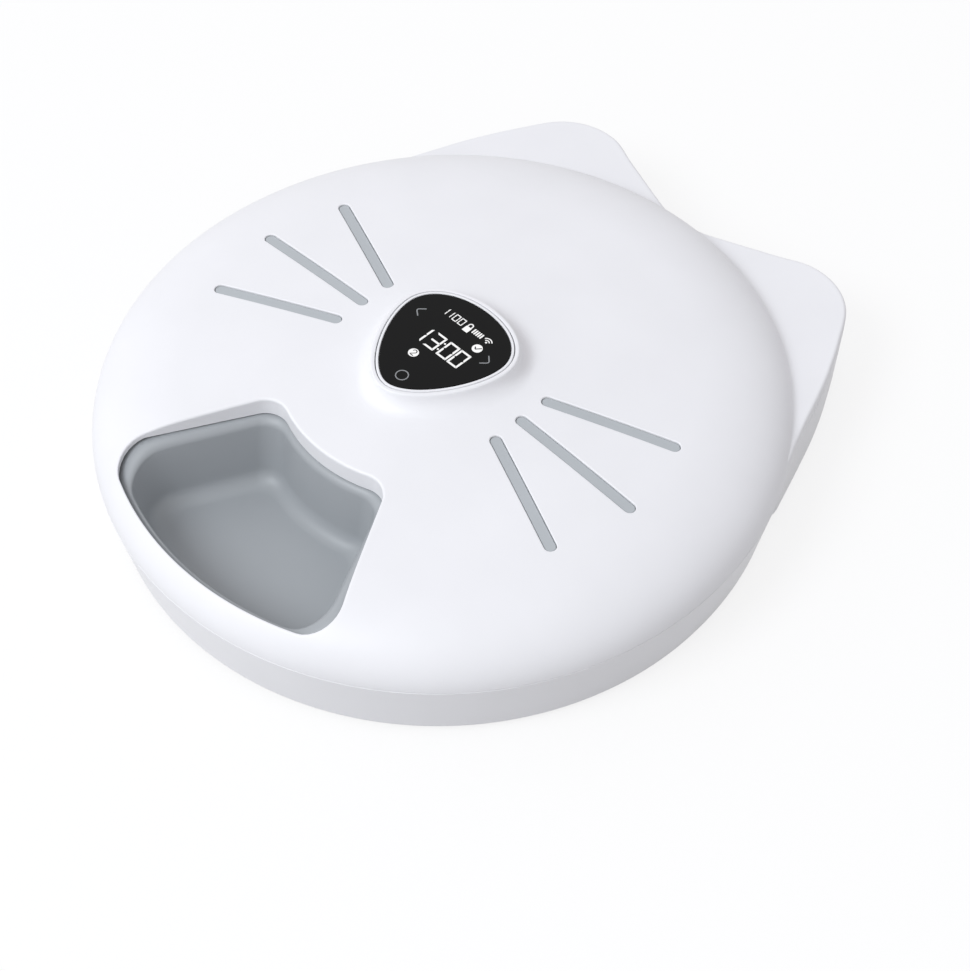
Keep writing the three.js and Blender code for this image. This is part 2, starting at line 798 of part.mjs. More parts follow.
function buildLid() {
  const outside = domeSolid(0, lidLow);
  const inside = domeSolid(shellWall, lidLow - overrun);
  const shell = join(outside, earSolid(1, earLevelsOutside), earSolid(-1, earLevelsOutside))
    .subtract(join(inside, earSolid(1, earLevelsInside), earSolid(-1, earLevelsInside)));
  const lip = solidOf(prism(openingCut(-shellWall), lipHeight, domeHeight)).intersect(outside);
  const sealRib = solidOf(turned([
    [sealMiddle - sealRibWall / 2, sealHigh + touchGap],
    [sealMiddle + sealRibWall / 2, sealHigh + touchGap],
    [sealMiddle + sealRibWall / 2, domeHeight],
    [sealMiddle - sealRibWall / 2, domeHeight],
  ])).intersect(domeSolid(shellWall / 2, lidLow));
  const holes = [
    solidOf(prism(noseOutline(neckHoleGrow), lipHeight, glassTop + overrun)),
    solidOf(prism(openingCut(0), widestHeight, domeHeight + overrun)),
  ];
  const cups = [];
  [1, -1].forEach((side) => {
    slotOutlines(side, slotWidth).forEach((outline) => {
      holes.push(solidOf(prism(outline, lipHeight, domeHeight + overrun)));
    });
    const cupRadius = magnetRadius + touchGap + shellWall / 2;
    const cupHigh = earTopHeight - shellWall / 2;
    const postX = side * earPostX;
    const seatHigh = earTopHeight - shellWall;
    const cup = solidOf(cylinder(cupRadius, lidMagnetHigh - magnetThick, cupHigh, postX, earPostY));
    const seat = cylinder(magnetRadius + touchGap, lidLow, seatHigh, postX, earPostY);
    cups.push(cup.subtract(solidOf(seat)));
  });
  return join(shell, lip, neckSolid(), sealRib, ...cups).subtract(join(...holes));
}
addPiece(lid, 'lid_shell', buildLid(), whiteShell);

// Whisker inlays: bars in the slots, on a plate under the dome
function buildInlay(side) {
  const nearX = midSlotInner - inlayMargin;
  const farX = midSlotOuter + inlayMargin;
  const nearY = sideSlotInnerY + inlayMargin;
  const farY = sideSlotOuterY + inlayMargin;
  const plateOutline = [
    [nearX, -nearY], [sideSlotOuterX, -farY], [farX, -inlayMargin],
    [farX, inlayMargin], [sideSlotOuterX, farY], [nearX, nearY],
  ].map(([x, y]) => new THREE.Vector2(x * side, y));
  if (side < 0) plateOutline.reverse();
  const plateTop = shellWall + touchGap;
  const plate = solidOf(prism(plateOutline, lipHeight - shellWall, domeHeight));
  const bars = slotOutlines(side, slotWidth - 2 * touchGap).map((outline) => (
    solidOf(prism(outline, lipHeight - shellWall, domeHeight))
  ));
  const sunkBars = join(...bars).intersect(domeSolid(inlayRecess, widestHeight));
  const sunkPlate = plate.intersect(domeSolid(plateTop, widestHeight));
  return join(sunkBars, sunkPlate).subtract(domeSolid(plateTop + inlayPlate, seamHeight));
}
addPiece(lid, 'whisker_inlay_right', buildInlay(1), greyInlay);
addPiece(lid, 'whisker_inlay_left', buildInlay(-1), greyInlay);

// Magnets under the lid's ears, and their partners in the chassis posts
const magnetShape = cylinder(magnetRadius, -magnetThick, 0);
[['right', 1], ['left', -1]].forEach(([name, side]) => {
  const lidMagnet = addPiece(lid, `lid_magnet_${name}`, magnetShape, nickel);
  lidMagnet.position.set(side * earPostX, earPostY, lidMagnetHigh);
  const baseMagnet = addPiece(base, `base_magnet_${name}`, magnetShape, nickel);
  baseMagnet.position.set(side * earPostX, earPostY, postMagnetHigh);
});

// Base pan: drafted wall with the lower ears, battery bay, recesses and holes
function draftInset(height) {
  return (panDraft * (widestHeight - height)) / (widestHeight - footProud);
}
const panCorner = footProud + panBottomRound;
const panInnerCorner = panTop + panBottomRound;
const panBottomCut = panBottomRound * (1 - Math.SQRT1_2);
// Levels of the pan's outside and inside; the ears take only a share of the draft
function panOutside(draftShare) {
  const corner = draftShare * draftInset(panCorner);
  return [
    [corner + panBottomRound, footProud],
    [corner + panBottomCut, footProud + panBottomCut],
    [corner, panCorner],
    [0, widestHeight],
    [0, panHigh],
  ];
}
function panInside(draftShare) {
  const corner = draftShare * draftInset(panInnerCorner);
  return [
    [corner + panWall + panBottomRound, panTop],
    [corner + panWall, panInnerCorner],
    [panWall, widestHeight],
    [panWall, panHigh + overrun],
  ];
}

function buildPan() {
  const roundOutside = panOutside(1).map(([inset, height]) => [bodyRadius - inset, height]);
  const roundInside = panInside(1).map(([inset, height]) => [bodyRadius - inset, height]);
  const outsideProfile = [[0, footProud], ...roundOutside, [0, panHigh]];
  const insideProfile = [[0, panTop], ...roundInside, [0, panHigh + overrun]];
  const outside = solidOf(stretchBack(turned(outsideProfile)));
  const inside = solidOf(stretchBack(turned(insideProfile)));
  const [earOut, earIn] = [panOutside(earDraftShare), panInside(earDraftShare)];
  let pan = join(outside, earSolid(1, earOut), earSolid(-1, earOut))
    .subtract(join(inside, earSolid(1, earIn), earSolid(-1, earIn)));
  const bayOut = block(
    -bayHalfX - bayWall, bayHalfX + bayWall, -bayHalfY - bayWall, bayHalfY + bayWall, footProud, bayRoof,
  );
  const bayIn = block(-bayHalfX, bayHalfX, -bayHalfY, bayHalfY, footProud - overrun, bayHigh);
  const hingeRoom = block(
    -bayHalfX, bayHalfX, pinHingeY - doorThick, -bayHalfY, footProud - overrun, panTop + overrun,
  );
  const pinSocket = crossPin(hingePinRadius + hingeClear, 2 * (bayHalfX + hingePinReach + hingeClear));
  pinSocket.translate(0, pinHingeY, footProud + hingeAxisRise);
  pan = join(pan, solidOf(bayOut), railSolid().intersect(outside));
  pan = pan.subtract(join(solidOf(bayIn), solidOf(hingeRoom), solidOf(pinSocket)));
  footAngles.forEach((angle) => {
    const [x, y] = polar(footReach, angle);
    pan = pan.subtract(solidOf(cylinder(footRadius + touchGap, 0, footProud + footRecess, x, y)));
  });
  panScrewPlaces().forEach(([x, y]) => {
    pan = pan.subtract(screwHole(x, y, 0, panTop + overrun));
    const sink = cylinder(screwHeadRadius + touchGap, 0, panScrewSeat, x, y, holeSteps);
    pan = pan.subtract(solidOf(sink));
  });
  const wallY = bodyRadius * (1 + backStretchShare);
  const socketSlot = block(
    inletX - socketHalfWidth - touchGap, inletX + socketHalfWidth + touchGap,
    bowlRimRadius, wallY + overrun,
    inletHeight - socketHalfHeight - touchGap, inletHeight + socketHalfHeight + touchGap,
  );
  const buttonHole = cylinder(buttonRadius + touchGap, bowlRimRadius, wallY + overrun);
  buttonHole.rotateX(-Math.PI / 2);
  buttonHole.translate(buttonX, 0, inletHeight);
  return pan.subtract(join(solidOf(socketSlot), solidOf(buttonHole)));
}

// Two slotted rails that hold the inlet board by its ends
function railSolid() {
  const front = inletBoardBack - boardThick - touchGap;
  const back = inletBoardBack + touchGap;
  const slot = solidOf(block(
    -inletBoardHalf - touchGap, inletBoardHalf + touchGap,
    front, back,
    inletBoardLow - touchGap, railHigh + overrun,
  ));
  const rails = [1, -1].map((side) => {
    const railLow = footProud + panFloor / 2;
    const rail = block(-railGrip, railGrip, front - railWall, back + railWall, railLow, railHigh);
    rail.translate(side * inletBoardHalf, 0, 0);
    return solidOf(rail);
  });
  return join(...rails).subtract(slot);
}

function postPlaces() {
  const places = [];
  for (let i = 0; i < postCount; i += 1) {
    places.push(polar(postReach, postAngle + (fullTurn * i) / postCount));
  }
  return places;
}

function panScrewPlaces() {
  return [...postPlaces(), [earPostX, earPostY], [-earPostX, earPostY]];
}
addPiece(base, 'base_pan', buildPan(), whiteShell);
panScrewPlaces().forEach(([x, y], i) => {
  addScrew(`pan_screw_${i + 1}`, x, y, panScrewSeat - touchGap, panScrewLength, true);
});

// Chassis: bowl, tower, deck that reaches into the ears, posts, cheeks and motor shelf
function buildChassis() {
  const profile = [
    [towerInner, panTop + touchGap],
    [towerRadius, panTop + touchGap],
    [towerRadius, bowlFloorLow],
    [bowlFootRadius, bowlFloorLow],
    [bowlFootRadius + bowlCornerRise, bowlFloorLow + bowlCornerRise],
    [bowlRimRadius, deckLow],
    [bowlRimRadius, deckHigh],
    [bowlRimRadius - bowlWall, deckHigh],
    [bowlFootRadius + bowlCornerRise - bowlWall, bowlFloorHigh + bowlCornerRise],
    [bowlFootRadius - bowlWall, bowlFloorHigh],
    [towerRadius, bowlFloorHigh],
    [towerRadius, towerHeight - towerChamfer],
    [towerRadius - towerChamfer, towerHeight],
    [0, towerHeight],
    [0, deckUnderside],
    [towerInner - towerChamfer, deckUnderside],
    [towerInner, deckUnderside - towerChamfer],
  ];
  let chassis = solidOf(turned(profile));
  const deckInset = panWall + deckGap;
  const deckRound = circleOutline(bodyRadius - deckInset);
  const deckParts = [solidOf(stretchBack(prism(deckRound, deckLow, deckHigh)))];
  [1, -1].forEach((side) => {
    deckParts.push(earSolid(side, [[deckInset, deckLow], [deckInset, deckHigh]]));
    const post = cylinder(earPostRadius, panTop + touchGap, deckHigh, side * earPostX, earPostY);
    deckParts.push(solidOf(post));
  });
  const bowlMiddle = bowlRimRadius - bowlWall / 2;
  const bore = solidOf(prism(circleOutline(bowlMiddle), deckLow - overrun, deckHigh + overrun));
  chassis = join(chassis, join(...deckParts).subtract(bore));
  const inTower = solidOf(prism(circleOutline(towerInner + towerWall / 2), 0, towerHeight));
  const shelf = solidOf(block(shelfFront, towerRadius, -towerRadius, towerRadius, shelfLow, shelfHigh));
  const boardPosts = boardPostPlaces().map(([x, y]) => (
    solidOf(cylinder(boardPostRadius, mainBoardHigh + touchGap, towerHeight - towerWall / 2, x, y))
  ));
  const posts = postPlaces().map(([x, y]) => (
    solidOf(cylinder(postRadius, panTop + touchGap, postHeight, x, y))
  ));
  chassis = join(chassis, join(shelf, ...posts, ...boardPosts).intersect(inTower));
  for (let i = 0; i < rollerCount; i += 1) {
    const turn = rollerTurn(i);
    cheekRanges().forEach(([near, far, high]) => {
      const cheek = block(near, far, -cheekWidth / 2, cheekWidth / 2, bowlFloorHigh - bowlWall / 2, high);
      cheek.rotateZ(turn);
      chassis = chassis.add(solidOf(cheek));
    });
    const axleHole = crossPin(axleRadius + axleClearance, axleLength + 2 * axleClearance);
    axleHole.translate(rollerPath, 0, rollerAxisHeight);
    axleHole.rotateZ(turn);
    chassis = chassis.subtract(solidOf(axleHole));
  }
  const windowCut = block(
    pinionX, towerRadius + overrun, -windowHalfWidth, windowHalfWidth, windowLow, windowTop,
  );
  const bossHoleRadius = motorBossRadius + touchGap;
  const bossHole = cylinder(bossHoleRadius, shelfLow - overrun, shelfHigh + overrun, pinionX, 0);
  const leadCut = block(
    leadX - leadWidth / 2 - leadNotch, leadX + leadWidth / 2 + leadNotch,
    0, towerRadius + overrun, 0, panTop + leadThick + leadNotch,
  );
  const ribbonCut = block(
    -ribbonWidth / 2 - ribbonSlotGap, ribbonWidth / 2 + ribbonSlotGap,
    ribbonY - ribbonThick - ribbonSlotGap, ribbonY + ribbonThick + ribbonSlotGap,
    deckUnderside - overrun, towerHeight + overrun,
  );
  const holes = [solidOf(windowCut), solidOf(bossHole), solidOf(leadCut), solidOf(ribbonCut)];
  panScrewPlaces().forEach(([x, y]) => {
    holes.push(screwHole(x, y, 0, panScrewSeat + panScrewLength + overrun));
  });
  [1, -1].forEach((side) => {
    const magnetLow = postMagnetHigh - magnetThick - touchGap;
    const pocket = cylinder(magnetRadius + touchGap, magnetLow, deckHigh + overrun);
    pocket.translate(side * earPostX, earPostY, 0);
    holes.push(solidOf(pocket));
    holes.push(screwHole(motorX, side * motorEarReach, shelfLow - overrun, shelfHigh + overrun));
    const holeLow = deckUnderside - overrun;
    holes.push(screwHole(side * consolePostX, consolePostY, holeLow, towerHeight + overrun));
  });
  boardPostPlaces().forEach(([x, y]) => {
    holes.push(screwHole(x, y, mainBoardHigh, mainBoardHigh + smallScrewLength));
  });
  return chassis.subtract(join(...holes));
}

function boardPostPlaces() {
  return [[boardPostX, boardPostY], [-boardPostX, -boardPostY]];
}

function rollerTurn(i) {
  return (rollerFirstAngle + (fullTurn * i) / rollerCount) * toRadians;
}

function cheekRanges() {
  const inner = rollerPath - rollerWidth / 2 - touchGap;
  const outer = rollerPath + rollerWidth / 2 + touchGap;
  return [[inner - cheekThick, inner, cheekTop], [outer, outer + cheekThick, outerCheekTop]];
}
addPiece(base, 'chassis', buildChassis(), innerWhite);

// Support rollers and their axles
const rollerShape = turned([
  [axleRadius + axleClearance, -rollerWidth / 2],
  [rollerRadius, -rollerWidth / 2],
  [rollerRadius, rollerWidth / 2],
  [axleRadius + axleClearance, rollerWidth / 2],
], smallSteps);
rollerShape.rotateY(Math.PI / 2);
for (let i = 0; i < rollerCount; i += 1) {
  const turn = rollerTurn(i);
  const stand = new THREE.Group();
  stand.position.set(rollerPath * Math.cos(turn), rollerPath * Math.sin(turn), rollerAxisHeight);
  stand.rotation.z = turn;
  base.add(stand);
  addPiece(stand, `support_roller_${i + 1}`, rollerShape, darkPlastic);
  addPiece(stand, `roller_axle_${i + 1}`, crossPin(axleRadius, axleLength), steel);
}

// Turntable: internal gear, track for the rollers, drive lugs and the index magnet's pocket
const ringTip = ringPitchRadius - gearModule;
const ringRoot = ringPitchRadius + gearModule * (1 + tipClearShare);
function lugTurn(i) {
  return (lugFirstAngle + (fullTurn * i) / lugCount) * toRadians;
}
function buildTurntable() {
  const gearHole = gearOutline(ringTeeth, ringTip, ringRoot, 1 - toothFillShare).reverse();
  const rim = solidOf(prism(circleOutline(gearRim), gearLow, turntableTop, [gearHole]));
  const track = solidOf(turned([
    [gearRim - gearModule / 2, turntableLow],
    [turntableOuter, turntableLow],
    [turntableOuter, turntableTop],
    [gearRim - gearModule / 2, turntableTop],
  ]));
  let ring = join(rim, track);
  for (let i = 0; i < lugCount; i += 1) {
    const lug = block(
      trayBore, trayBore + lugWall, -lugWidth / 2, lugWidth / 2,
      turntableTop - lugHeight / 2, turntableTop + lugHeight,
    );
    lug.rotateZ(lugTurn(i));
    ring = ring.add(solidOf(lug));
  }
  const pocketLow = turntableTop - indexMagnetThick - touchGap;
  const pocket = cylinder(indexMagnetRadius + touchGap, pocketLow, turntableTop + overrun, -rollerPath, 0);
  return ring.subtract(solidOf(pocket));
}
addPiece(carousel, 'turntable', buildTurntable(), gearPlastic);
const indexMagnet = cylinder(indexMagnetRadius, turntableTop - indexMagnetThick, turntableTop);
addPiece(carousel, 'index_magnet', indexMagnet, nickel).position.x = -rollerPath;
const sensorMiddle = bowlFloorHigh + touchGap + sensorHeight / 2;
const indexSensor = new THREE.BoxGeometry(sensorDepth, sensorWidth, sensorHeight);
addPiece(base, 'index_sensor', indexSensor, darkPlastic).position.set(-rollerPath, 0, sensorMiddle);

// Drive pinion with its shaft, which enters the gear motor from below
const pinionTip = pinionPitchRadius + gearModule;
const pinionRoot = pinionPitchRadius - gearModule * (1 + tipClearShare);
const shaftTop = shelfLow + shaftInsert;
function buildPinion() {
  const outline = gearOutline(pinionTeeth, pinionRoot, pinionTip, toothFillShare);
  const shaft = cylinder(shaftRadius, pinionLow + gearModule, shaftTop);
  return join(solidOf(prism(outline, pinionLow, pinionHigh)), solidOf(shaft));
}
addPiece(base, 'drive_pinion', buildPinion(), gearPlastic).position.x = pinionX;

// Gear motor: round case with mounting ears, a shaft boss and a lead block
function buildMotor() {
  const low = shelfHigh + touchGap;
  const can = solidOf(cylinder(motorRadius, low, low + motorHeight, motorX, 0, 2 * smallSteps));
  const ears = solidOf(block(
    motorX - motorEarHalfWidth, motorX + motorEarHalfWidth,
    -motorEarReach - motorEarHalfWidth, motorEarReach + motorEarHalfWidth,
    low, low + motorEarThick,
  ));
  const boss = solidOf(cylinder(motorBossRadius, low - motorBossDepth, low + motorBossDepth, pinionX, 0));
  const leads = solidOf(block(
    motorX - motorRadius - motorLeadBlock / 2, motorX,
    -motorLeadBlock, motorLeadBlock,
    low + motorHeight / 4, low + (motorHeight * 3) / 4,
  ));
  const bore = cylinder(shaftRadius + shaftClearance, low - overrun, shaftTop + shaftClearance, pinionX, 0);
  const holes = [1, -1].map((side) => (
    screwHole(motorX, side * motorEarReach, low - overrun, low + overrun)
  ));
  return join(can, ears, boss, leads).subtract(join(solidOf(bore), ...holes));
}
addPiece(base, 'gear_motor', buildMotor(), steel);
[1, -1].forEach((side, i) => {
  const seat = shelfHigh + motorEarThick + 2 * touchGap;
  addScrew(`motor_screw_${i + 1}`, motorX, side * motorEarReach, seat, smallScrewLength, false);
});

// Food tray: top skin, collar round the tower, outer lip and six compartments
function pocketLevels(grow, bottomSteps) {
  const levels = [];
  const floor = pocketFloor - grow;
  const depth = trayTop - pocketFloor;
  for (let i = 0; i <= bottomSteps; i += 1) {
    const turn = (i / bottomSteps) * (Math.PI / 2);
    const inset = pocketDraft + pocketBottomRound * (1 - Math.sin(turn)) - grow;
    levels.push([inset, floor + pocketBottomRound * (1 - Math.cos(turn))]);
  }
  const rimFoot = trayTop - rimRound;
  const rimInset = (pocketDraft * rimRound) / depth;
  levels.push([rimInset - grow, rimFoot]);
  return levels;
}

function pocketSolid(levels, turn) {
  const shapes = levels.map(([inset, height]) => ({
    outline: sector(pocketInner, pocketOuter, pocketHalfAngle, pocketCornerInner, pocketCornerOuter, inset),
    height,
  }));
  const geometry = loft(shapes);
  geometry.rotateZ(turn);
  return solidOf(geometry);
}

// The tray's top curve follows the dome's inside at a depth below the dome's outer face
function trayEdge(depth) {
  const near = rimShareAt(trayTop - (depth - shellWall - trayCover), depth);
  const far = rimShareAt(trayEdgeHeight, depth);
  const edge = [];
  for (let i = 0; i <= edgeSteps; i += 1) {
    edge.push(rimPoint(near + ((far - near) * i) / edgeSteps, depth));
  }
  return edge;
}

function buildTray() {
  const edge = trayEdge(shellWall + trayCover);
  const under = trayEdge(shellWall + trayCover + trayWall);
  const trayOuter = edge[edge.length - 1][0];
  const skin = solidOf(turned([
    [trayBore, turntableTop + touchGap],
    [trayBore + trayWall, turntableTop + touchGap],
    [trayBore + trayWall, trayTop - trayWall],
    ...under,
    [trayOuter - trayWall, trayEdgeHeight - trayLipDepth],
    [trayOuter, trayEdgeHeight - trayLipDepth],
    ...edge.slice().reverse(),
    [trayBore, trayTop],
  ]));
  const rimLevels = [];
  rimTurnShares.forEach((share) => {
    const turn = (share * Math.PI) / 2;
    rimLevels.push([-rimRound * (1 - Math.cos(turn)), trayTop - rimRound * (1 - Math.sin(turn))]);
  });
  const insideLevels = [...pocketLevels(0, bottomTurnSteps), ...rimLevels, [-rimRound, trayTop + overrun]];
  const middle = trayEdge(shellWall + trayCover + trayWall / 2);
  const capOuter = middle[middle.length - 1][0];
  const topCap = solidOf(turned([
    [0, pocketFloor - trayWall - overrun],
    [capOuter, pocketFloor - trayWall - overrun],
    ...middle.slice().reverse(),
    [0, trayTop - trayWall / 2],
  ]));
  const outsideLevels = [...pocketLevels(trayWall, 1), [-trayWall, trayTop]];
  const outsides = [];
  const insides = [];
  for (let i = 0; i < compartments; i += 1) {
    const turn = (2 * Math.PI * i) / compartments;
    outsides.push(pocketSolid(outsideLevels, turn));
    insides.push(pocketSolid(insideLevels, turn));
  }
  let tray = join(skin, join(...outsides).intersect(topCap)).subtract(join(...insides));
  for (let i = 0; i < lugCount; i += 1) {
    const notch = block(
      trayBore - lugWall, trayBore + 2 * lugWall,
      -lugWidth / 2 - lugClearance, lugWidth / 2 + lugClearance,
      turntableTop, turntableTop + lugHeight + lugClearance,
    );
    notch.rotateZ(lugTurn(i));
    tray = tray.subtract(solidOf(notch));
  }
  return tray;
}
addPiece(carousel, 'food_tray', buildTray(), trayGrey);

// Console: nose-shaped cup with a ledge for the glass, and what it holds
const glassLow = glassTop - glassThick;
function buildConsole() {
  const cup = solidOf(prism(noseOutline(housingGrow), consoleLow, glassTop));
  const seat = solidOf(prism(noseOutline(glassGap), glassLow - touchGap, glassTop + overrun));
  const well = solidOf(prism(noseOutline(-consoleLedge), consoleLow + consoleFloor, glassTop));
  let cupBody = cup.subtract(join(seat, well));
  [1, -1].forEach((side) => {
    const post = cylinder(consolePostRadius, consoleLow + consoleFloor / 2, displayBoardLow - touchGap);
    post.translate(side * consolePostX, consolePostY, 0);
    const holeHigh = consoleLow + smallScrewLength;
    const hole = screwHole(side * consolePostX, consolePostY, consoleLow - overrun, holeHigh);
    cupBody = cupBody.add(solidOf(post)).subtract(hole);
  });
  const slot = block(
    -ribbonWidth / 2 - ribbonSlotGap, ribbonWidth / 2 + ribbonSlotGap,
    ribbonY - ribbonThick - ribbonSlotGap, ribbonY + ribbonThick + ribbonSlotGap,
    consoleLow - overrun, consoleLow + consoleFloor + overrun / 2,
  );
  return cupBody.subtract(solidOf(slot));
}
addPiece(base, 'console_housing', buildConsole(), whiteShell);
addPiece(base, 'display_glass', prism(noseOutline(0), glassLow, glassTop), blackGlass);
const displayBoardHigh = displayBoardLow + boardThick;
const boardOutline = noseOutline(-displayInset);
addPiece(base, 'display_board', prism(boardOutline, displayBoardLow, displayBoardHigh), boardGreen);
const moduleLow = displayBoardHigh + touchGap;
const moduleHigh = glassLow - touchGap;
const moduleOutline = noseOutline(-displayInset - consoleLedge);
addPiece(base, 'display_module', prism(moduleOutline, moduleLow, moduleHigh), darkPlastic);
const ribbon = block(
  -ribbonWidth / 2, ribbonWidth / 2, ribbonY - ribbonThick / 2, ribbonY + ribbonThick / 2,
  mainBoardHigh + touchGap, displayBoardLow - touchGap,
);
addPiece(base, 'display_ribbon', ribbon, ribbonAmber);
[1, -1].forEach((side, i) => {
  const seat = deckUnderside - touchGap;
  addScrew(`console_screw_${i + 1}`, side * consolePostX, consolePostY, seat, smallScrewLength, true);
});

// Main board, hung from the deck, with the radio module above and the buzzer below
function buildMainBoard() {
  const outline = roundedRectangle(mainBoardHalfX, mainBoardHalfY, boardCorner);
  const holes = boardPostPlaces().map(([x, y]) => (
    screwHole(x, y, mainBoardLow - overrun, mainBoardHigh + overrun)
  ));
  return solidOf(prism(outline, mainBoardLow, mainBoardHigh)).subtract(join(...holes));
}
addPiece(base, 'main_board', buildMainBoard(), boardGreen);
boardPostPlaces().forEach(([x, y], i) => {
  addScrew(`board_screw_${i + 1}`, x, y, mainBoardLow - touchGap, smallScrewLength, true);
});
const radioMiddle = mainBoardHigh + touchGap + radioHeight / 2;
const radio = new THREE.BoxGeometry(radioWidth, radioLength, radioHeight);
addPiece(base, 'radio_module', radio, steel).position.set(radioX, radioY, radioMiddle);
const buzzer = cylinder(buzzerRadius, -buzzerHeight, 0);
addPiece(base, 'buzzer', buzzer, darkPlastic).position.set(buzzerX, buzzerY, mainBoardLow - touchGap);

// Battery cells, their contacts and the hinged door
const cellAxis = panTop + cellFloorGap + cellRadius;
const cellStart = -(cellLength + cellNub) / 2;
const cellShape = turned([
  [0, cellStart],
  [cellRadius, cellStart],
  [cellRadius, cellStart + cellLength],
  [cellNubRadius, cellStart + cellLength],
  [cellNubRadius, -cellStart],
  [0, -cellStart],
], smallSteps);
cellShape.rotateX(-Math.PI / 2);
for (let i = 0; i < cellCount; i += 1) {
  const cell = addPiece(base, `battery_cell_${i + 1}`, cellShape, cellWrap);
  cell.position.set((i - (cellCount - 1) / 2) * cellPitch, 0, cellAxis);
  cell.rotation.z = (i % 2) * Math.PI;
}
[['back', 1], ['front', -1]].forEach(([name, side]) => {
  const plate = new THREE.BoxGeometry(2 * (bayHalfX - touchGap), contactThick, contactHeight);
  const contact = addPiece(base, `battery_contact_${name}`, plate, nickel);
  contact.position.set(0, side * (touchGap + contactThick / 2 - cellStart), cellAxis);
});

const doorLow = footProud;
const doorHigh = doorLow + doorThick;
const hingeAxisHeight = footProud + hingeAxisRise;
function buildDoor() {
  const plate = solidOf(block(
    -bayHalfX + doorEdgeGap, bayHalfX - doorEdgeGap,
    pinHingeY - hingePinRadius, bayHalfY - doorEdgeGap,
    doorLow, doorHigh,
  ));
  const pin = crossPin(hingePinRadius, 2 * (bayHalfX + hingePinReach - hingeClear));
  pin.translate(0, pinHingeY, hingeAxisHeight);
  const grip = solidOf(block(
    -gripWidth / 2, gripWidth / 2,
    bayHalfY - doorEdgeGap - gripDepth, bayHalfY + overrun,
    0, doorLow + gripCut,
  ));
  return join(plate, solidOf(pin)).subtract(grip);
}
addPiece(base, 'battery_door', buildDoor(), whiteShell);

// Back wall: inlet board, socket, key switch, button, and the lead to the main board
function wallYAt(x, height) {
  const radius = bodyRadius - draftInset(height);
  return (1 + backStretchShare) * Math.sqrt(radius * radius - x * x);
}
const inletBoard = block(
  -inletBoardHalf, inletBoardHalf,
  inletBoardBack - boardThick, inletBoardBack,
  inletBoardLow, inletBoardHigh,
);
addPiece(base, 'inlet_board', inletBoard, boardGreen);
function buildSocket() {
  const front = wallYAt(inletX, inletHeight) - socketInset;
  const back = inletBoardBack + touchGap;
  const shell = solidOf(block(
    inletX - socketHalfWidth, inletX + socketHalfWidth, back, front,
    inletHeight - socketHalfHeight, inletHeight + socketHalfHeight,
  ));
  const hollow = solidOf(block(
    inletX - socketHalfWidth + socketWall, inletX + socketHalfWidth - socketWall,
    back + socketWall, front + overrun,
    inletHeight - socketHalfHeight + socketWall, inletHeight + socketHalfHeight - socketWall,
  ));
  const tongue = solidOf(block(
    inletX - socketHalfWidth / 2, inletX + socketHalfWidth / 2, back, front - socketInset,
    inletHeight - socketWall, inletHeight + socketWall,
  ));
  return join(shell.subtract(hollow), tongue);
}
addPiece(base, 'usb_socket', buildSocket(), nickel);
const switchBack = inletBoardBack + touchGap;
const wallInsideY = wallYAt(buttonX, inletHeight) - panWall * (1 + backStretchShare);
const flangeBack = wallInsideY - 2 * touchGap - buttonFlangeThick;
const switchHigh = flangeBack - buttonTravel - touchGap;
const keySwitch = block(
  buttonX - switchHalf, buttonX + switchHalf,
  switchBack, switchHigh,
  inletHeight - switchHalf, inletHeight + switchHalf,
);
addPiece(base, 'key_switch', keySwitch, darkPlastic);
function buildButton() {
  const cap = cylinder(buttonRadius, flangeBack, wallYAt(buttonX, inletHeight) + buttonProud);
  const flange = cylinder(buttonRadius + buttonFlange, flangeBack, flangeBack + buttonFlangeThick);
  const button = geometryOf(join(solidOf(cap), solidOf(flange)));
  button.rotateX(-Math.PI / 2);
  button.translate(buttonX, 0, inletHeight);
  return button;
}
addPiece(base, 'power_button', buildButton(), greyInlay);

// The flat lead's side view, as [y, z] points, is extruded along its width
function buildLead() {
  const low = panTop + touchGap;
  const high = mainBoardLow - touchGap;
  const endY = inletBoardBack - boardThick - touchGap;
  const inY = mainBoardHalfY - boardCorner;
  const outline = [
    [endY, low],
    [endY, low + leadEndRise],
    [endY - leadThick, low + leadEndRise],
    [endY - leadThick, low + leadThick],
    [leadTurnY, low + leadThick],
    [leadTurnY, high],
    [inY, high],
    [inY, high - leadThick],
    [leadTurnY - leadThick, high - leadThick],
    [leadTurnY - leadThick, low],
  ].map(([y, z]) => new THREE.Vector2(y, z));
  const lead = prism(outline, -leadWidth / 2, leadWidth / 2);
  lead.rotateX(Math.PI / 2);
  lead.rotateZ(Math.PI / 2);
  return lead;
}
addPiece(base, 'power_lead', buildLead(), darkPlastic).position.x = leadX;

// Rim seal, ice packs and feet
addPiece(base, 'rim_seal', turned([
  [sealMiddle - sealWidth / 2, sealHigh - sealHeight],
  [sealMiddle + sealWidth / 2, sealHigh - sealHeight],
  [sealMiddle + sealWidth / 2, sealHigh],
  [sealMiddle - sealWidth / 2, sealHigh],
]), softSeal);
const packLow = bowlFloorHigh + touchGap;
const packShape = loft([
  [packEdge, packLow], [0, packLow + packEdge], [0, packHigh - packEdge], [packEdge, packHigh],
].map(([inset, height]) => ({
  outline: sector(packInner, packOuter, packHalfAngle, packCorner, packCorner, inset, 3 * arcSteps),
  height,
})));
addPiece(base, 'ice_pack_right', packShape, icePack).rotation.z = Math.PI / 2;
addPiece(base, 'ice_pack_left', packShape, icePack).rotation.z = -Math.PI / 2;
const footShape = turned([
  [0, 0],
  [footRadius - footRecess, 0],
  [footRadius, footRecess],
  [footRadius, footProud + footRecess - touchGap],
  [0, footProud + footRecess - touchGap],
], smallSteps);
footAngles.forEach((angle, i) => {
  addPiece(base, `foot_${i + 1}`, footShape, rubber).position.set(...polar(footReach, angle), 0);
});

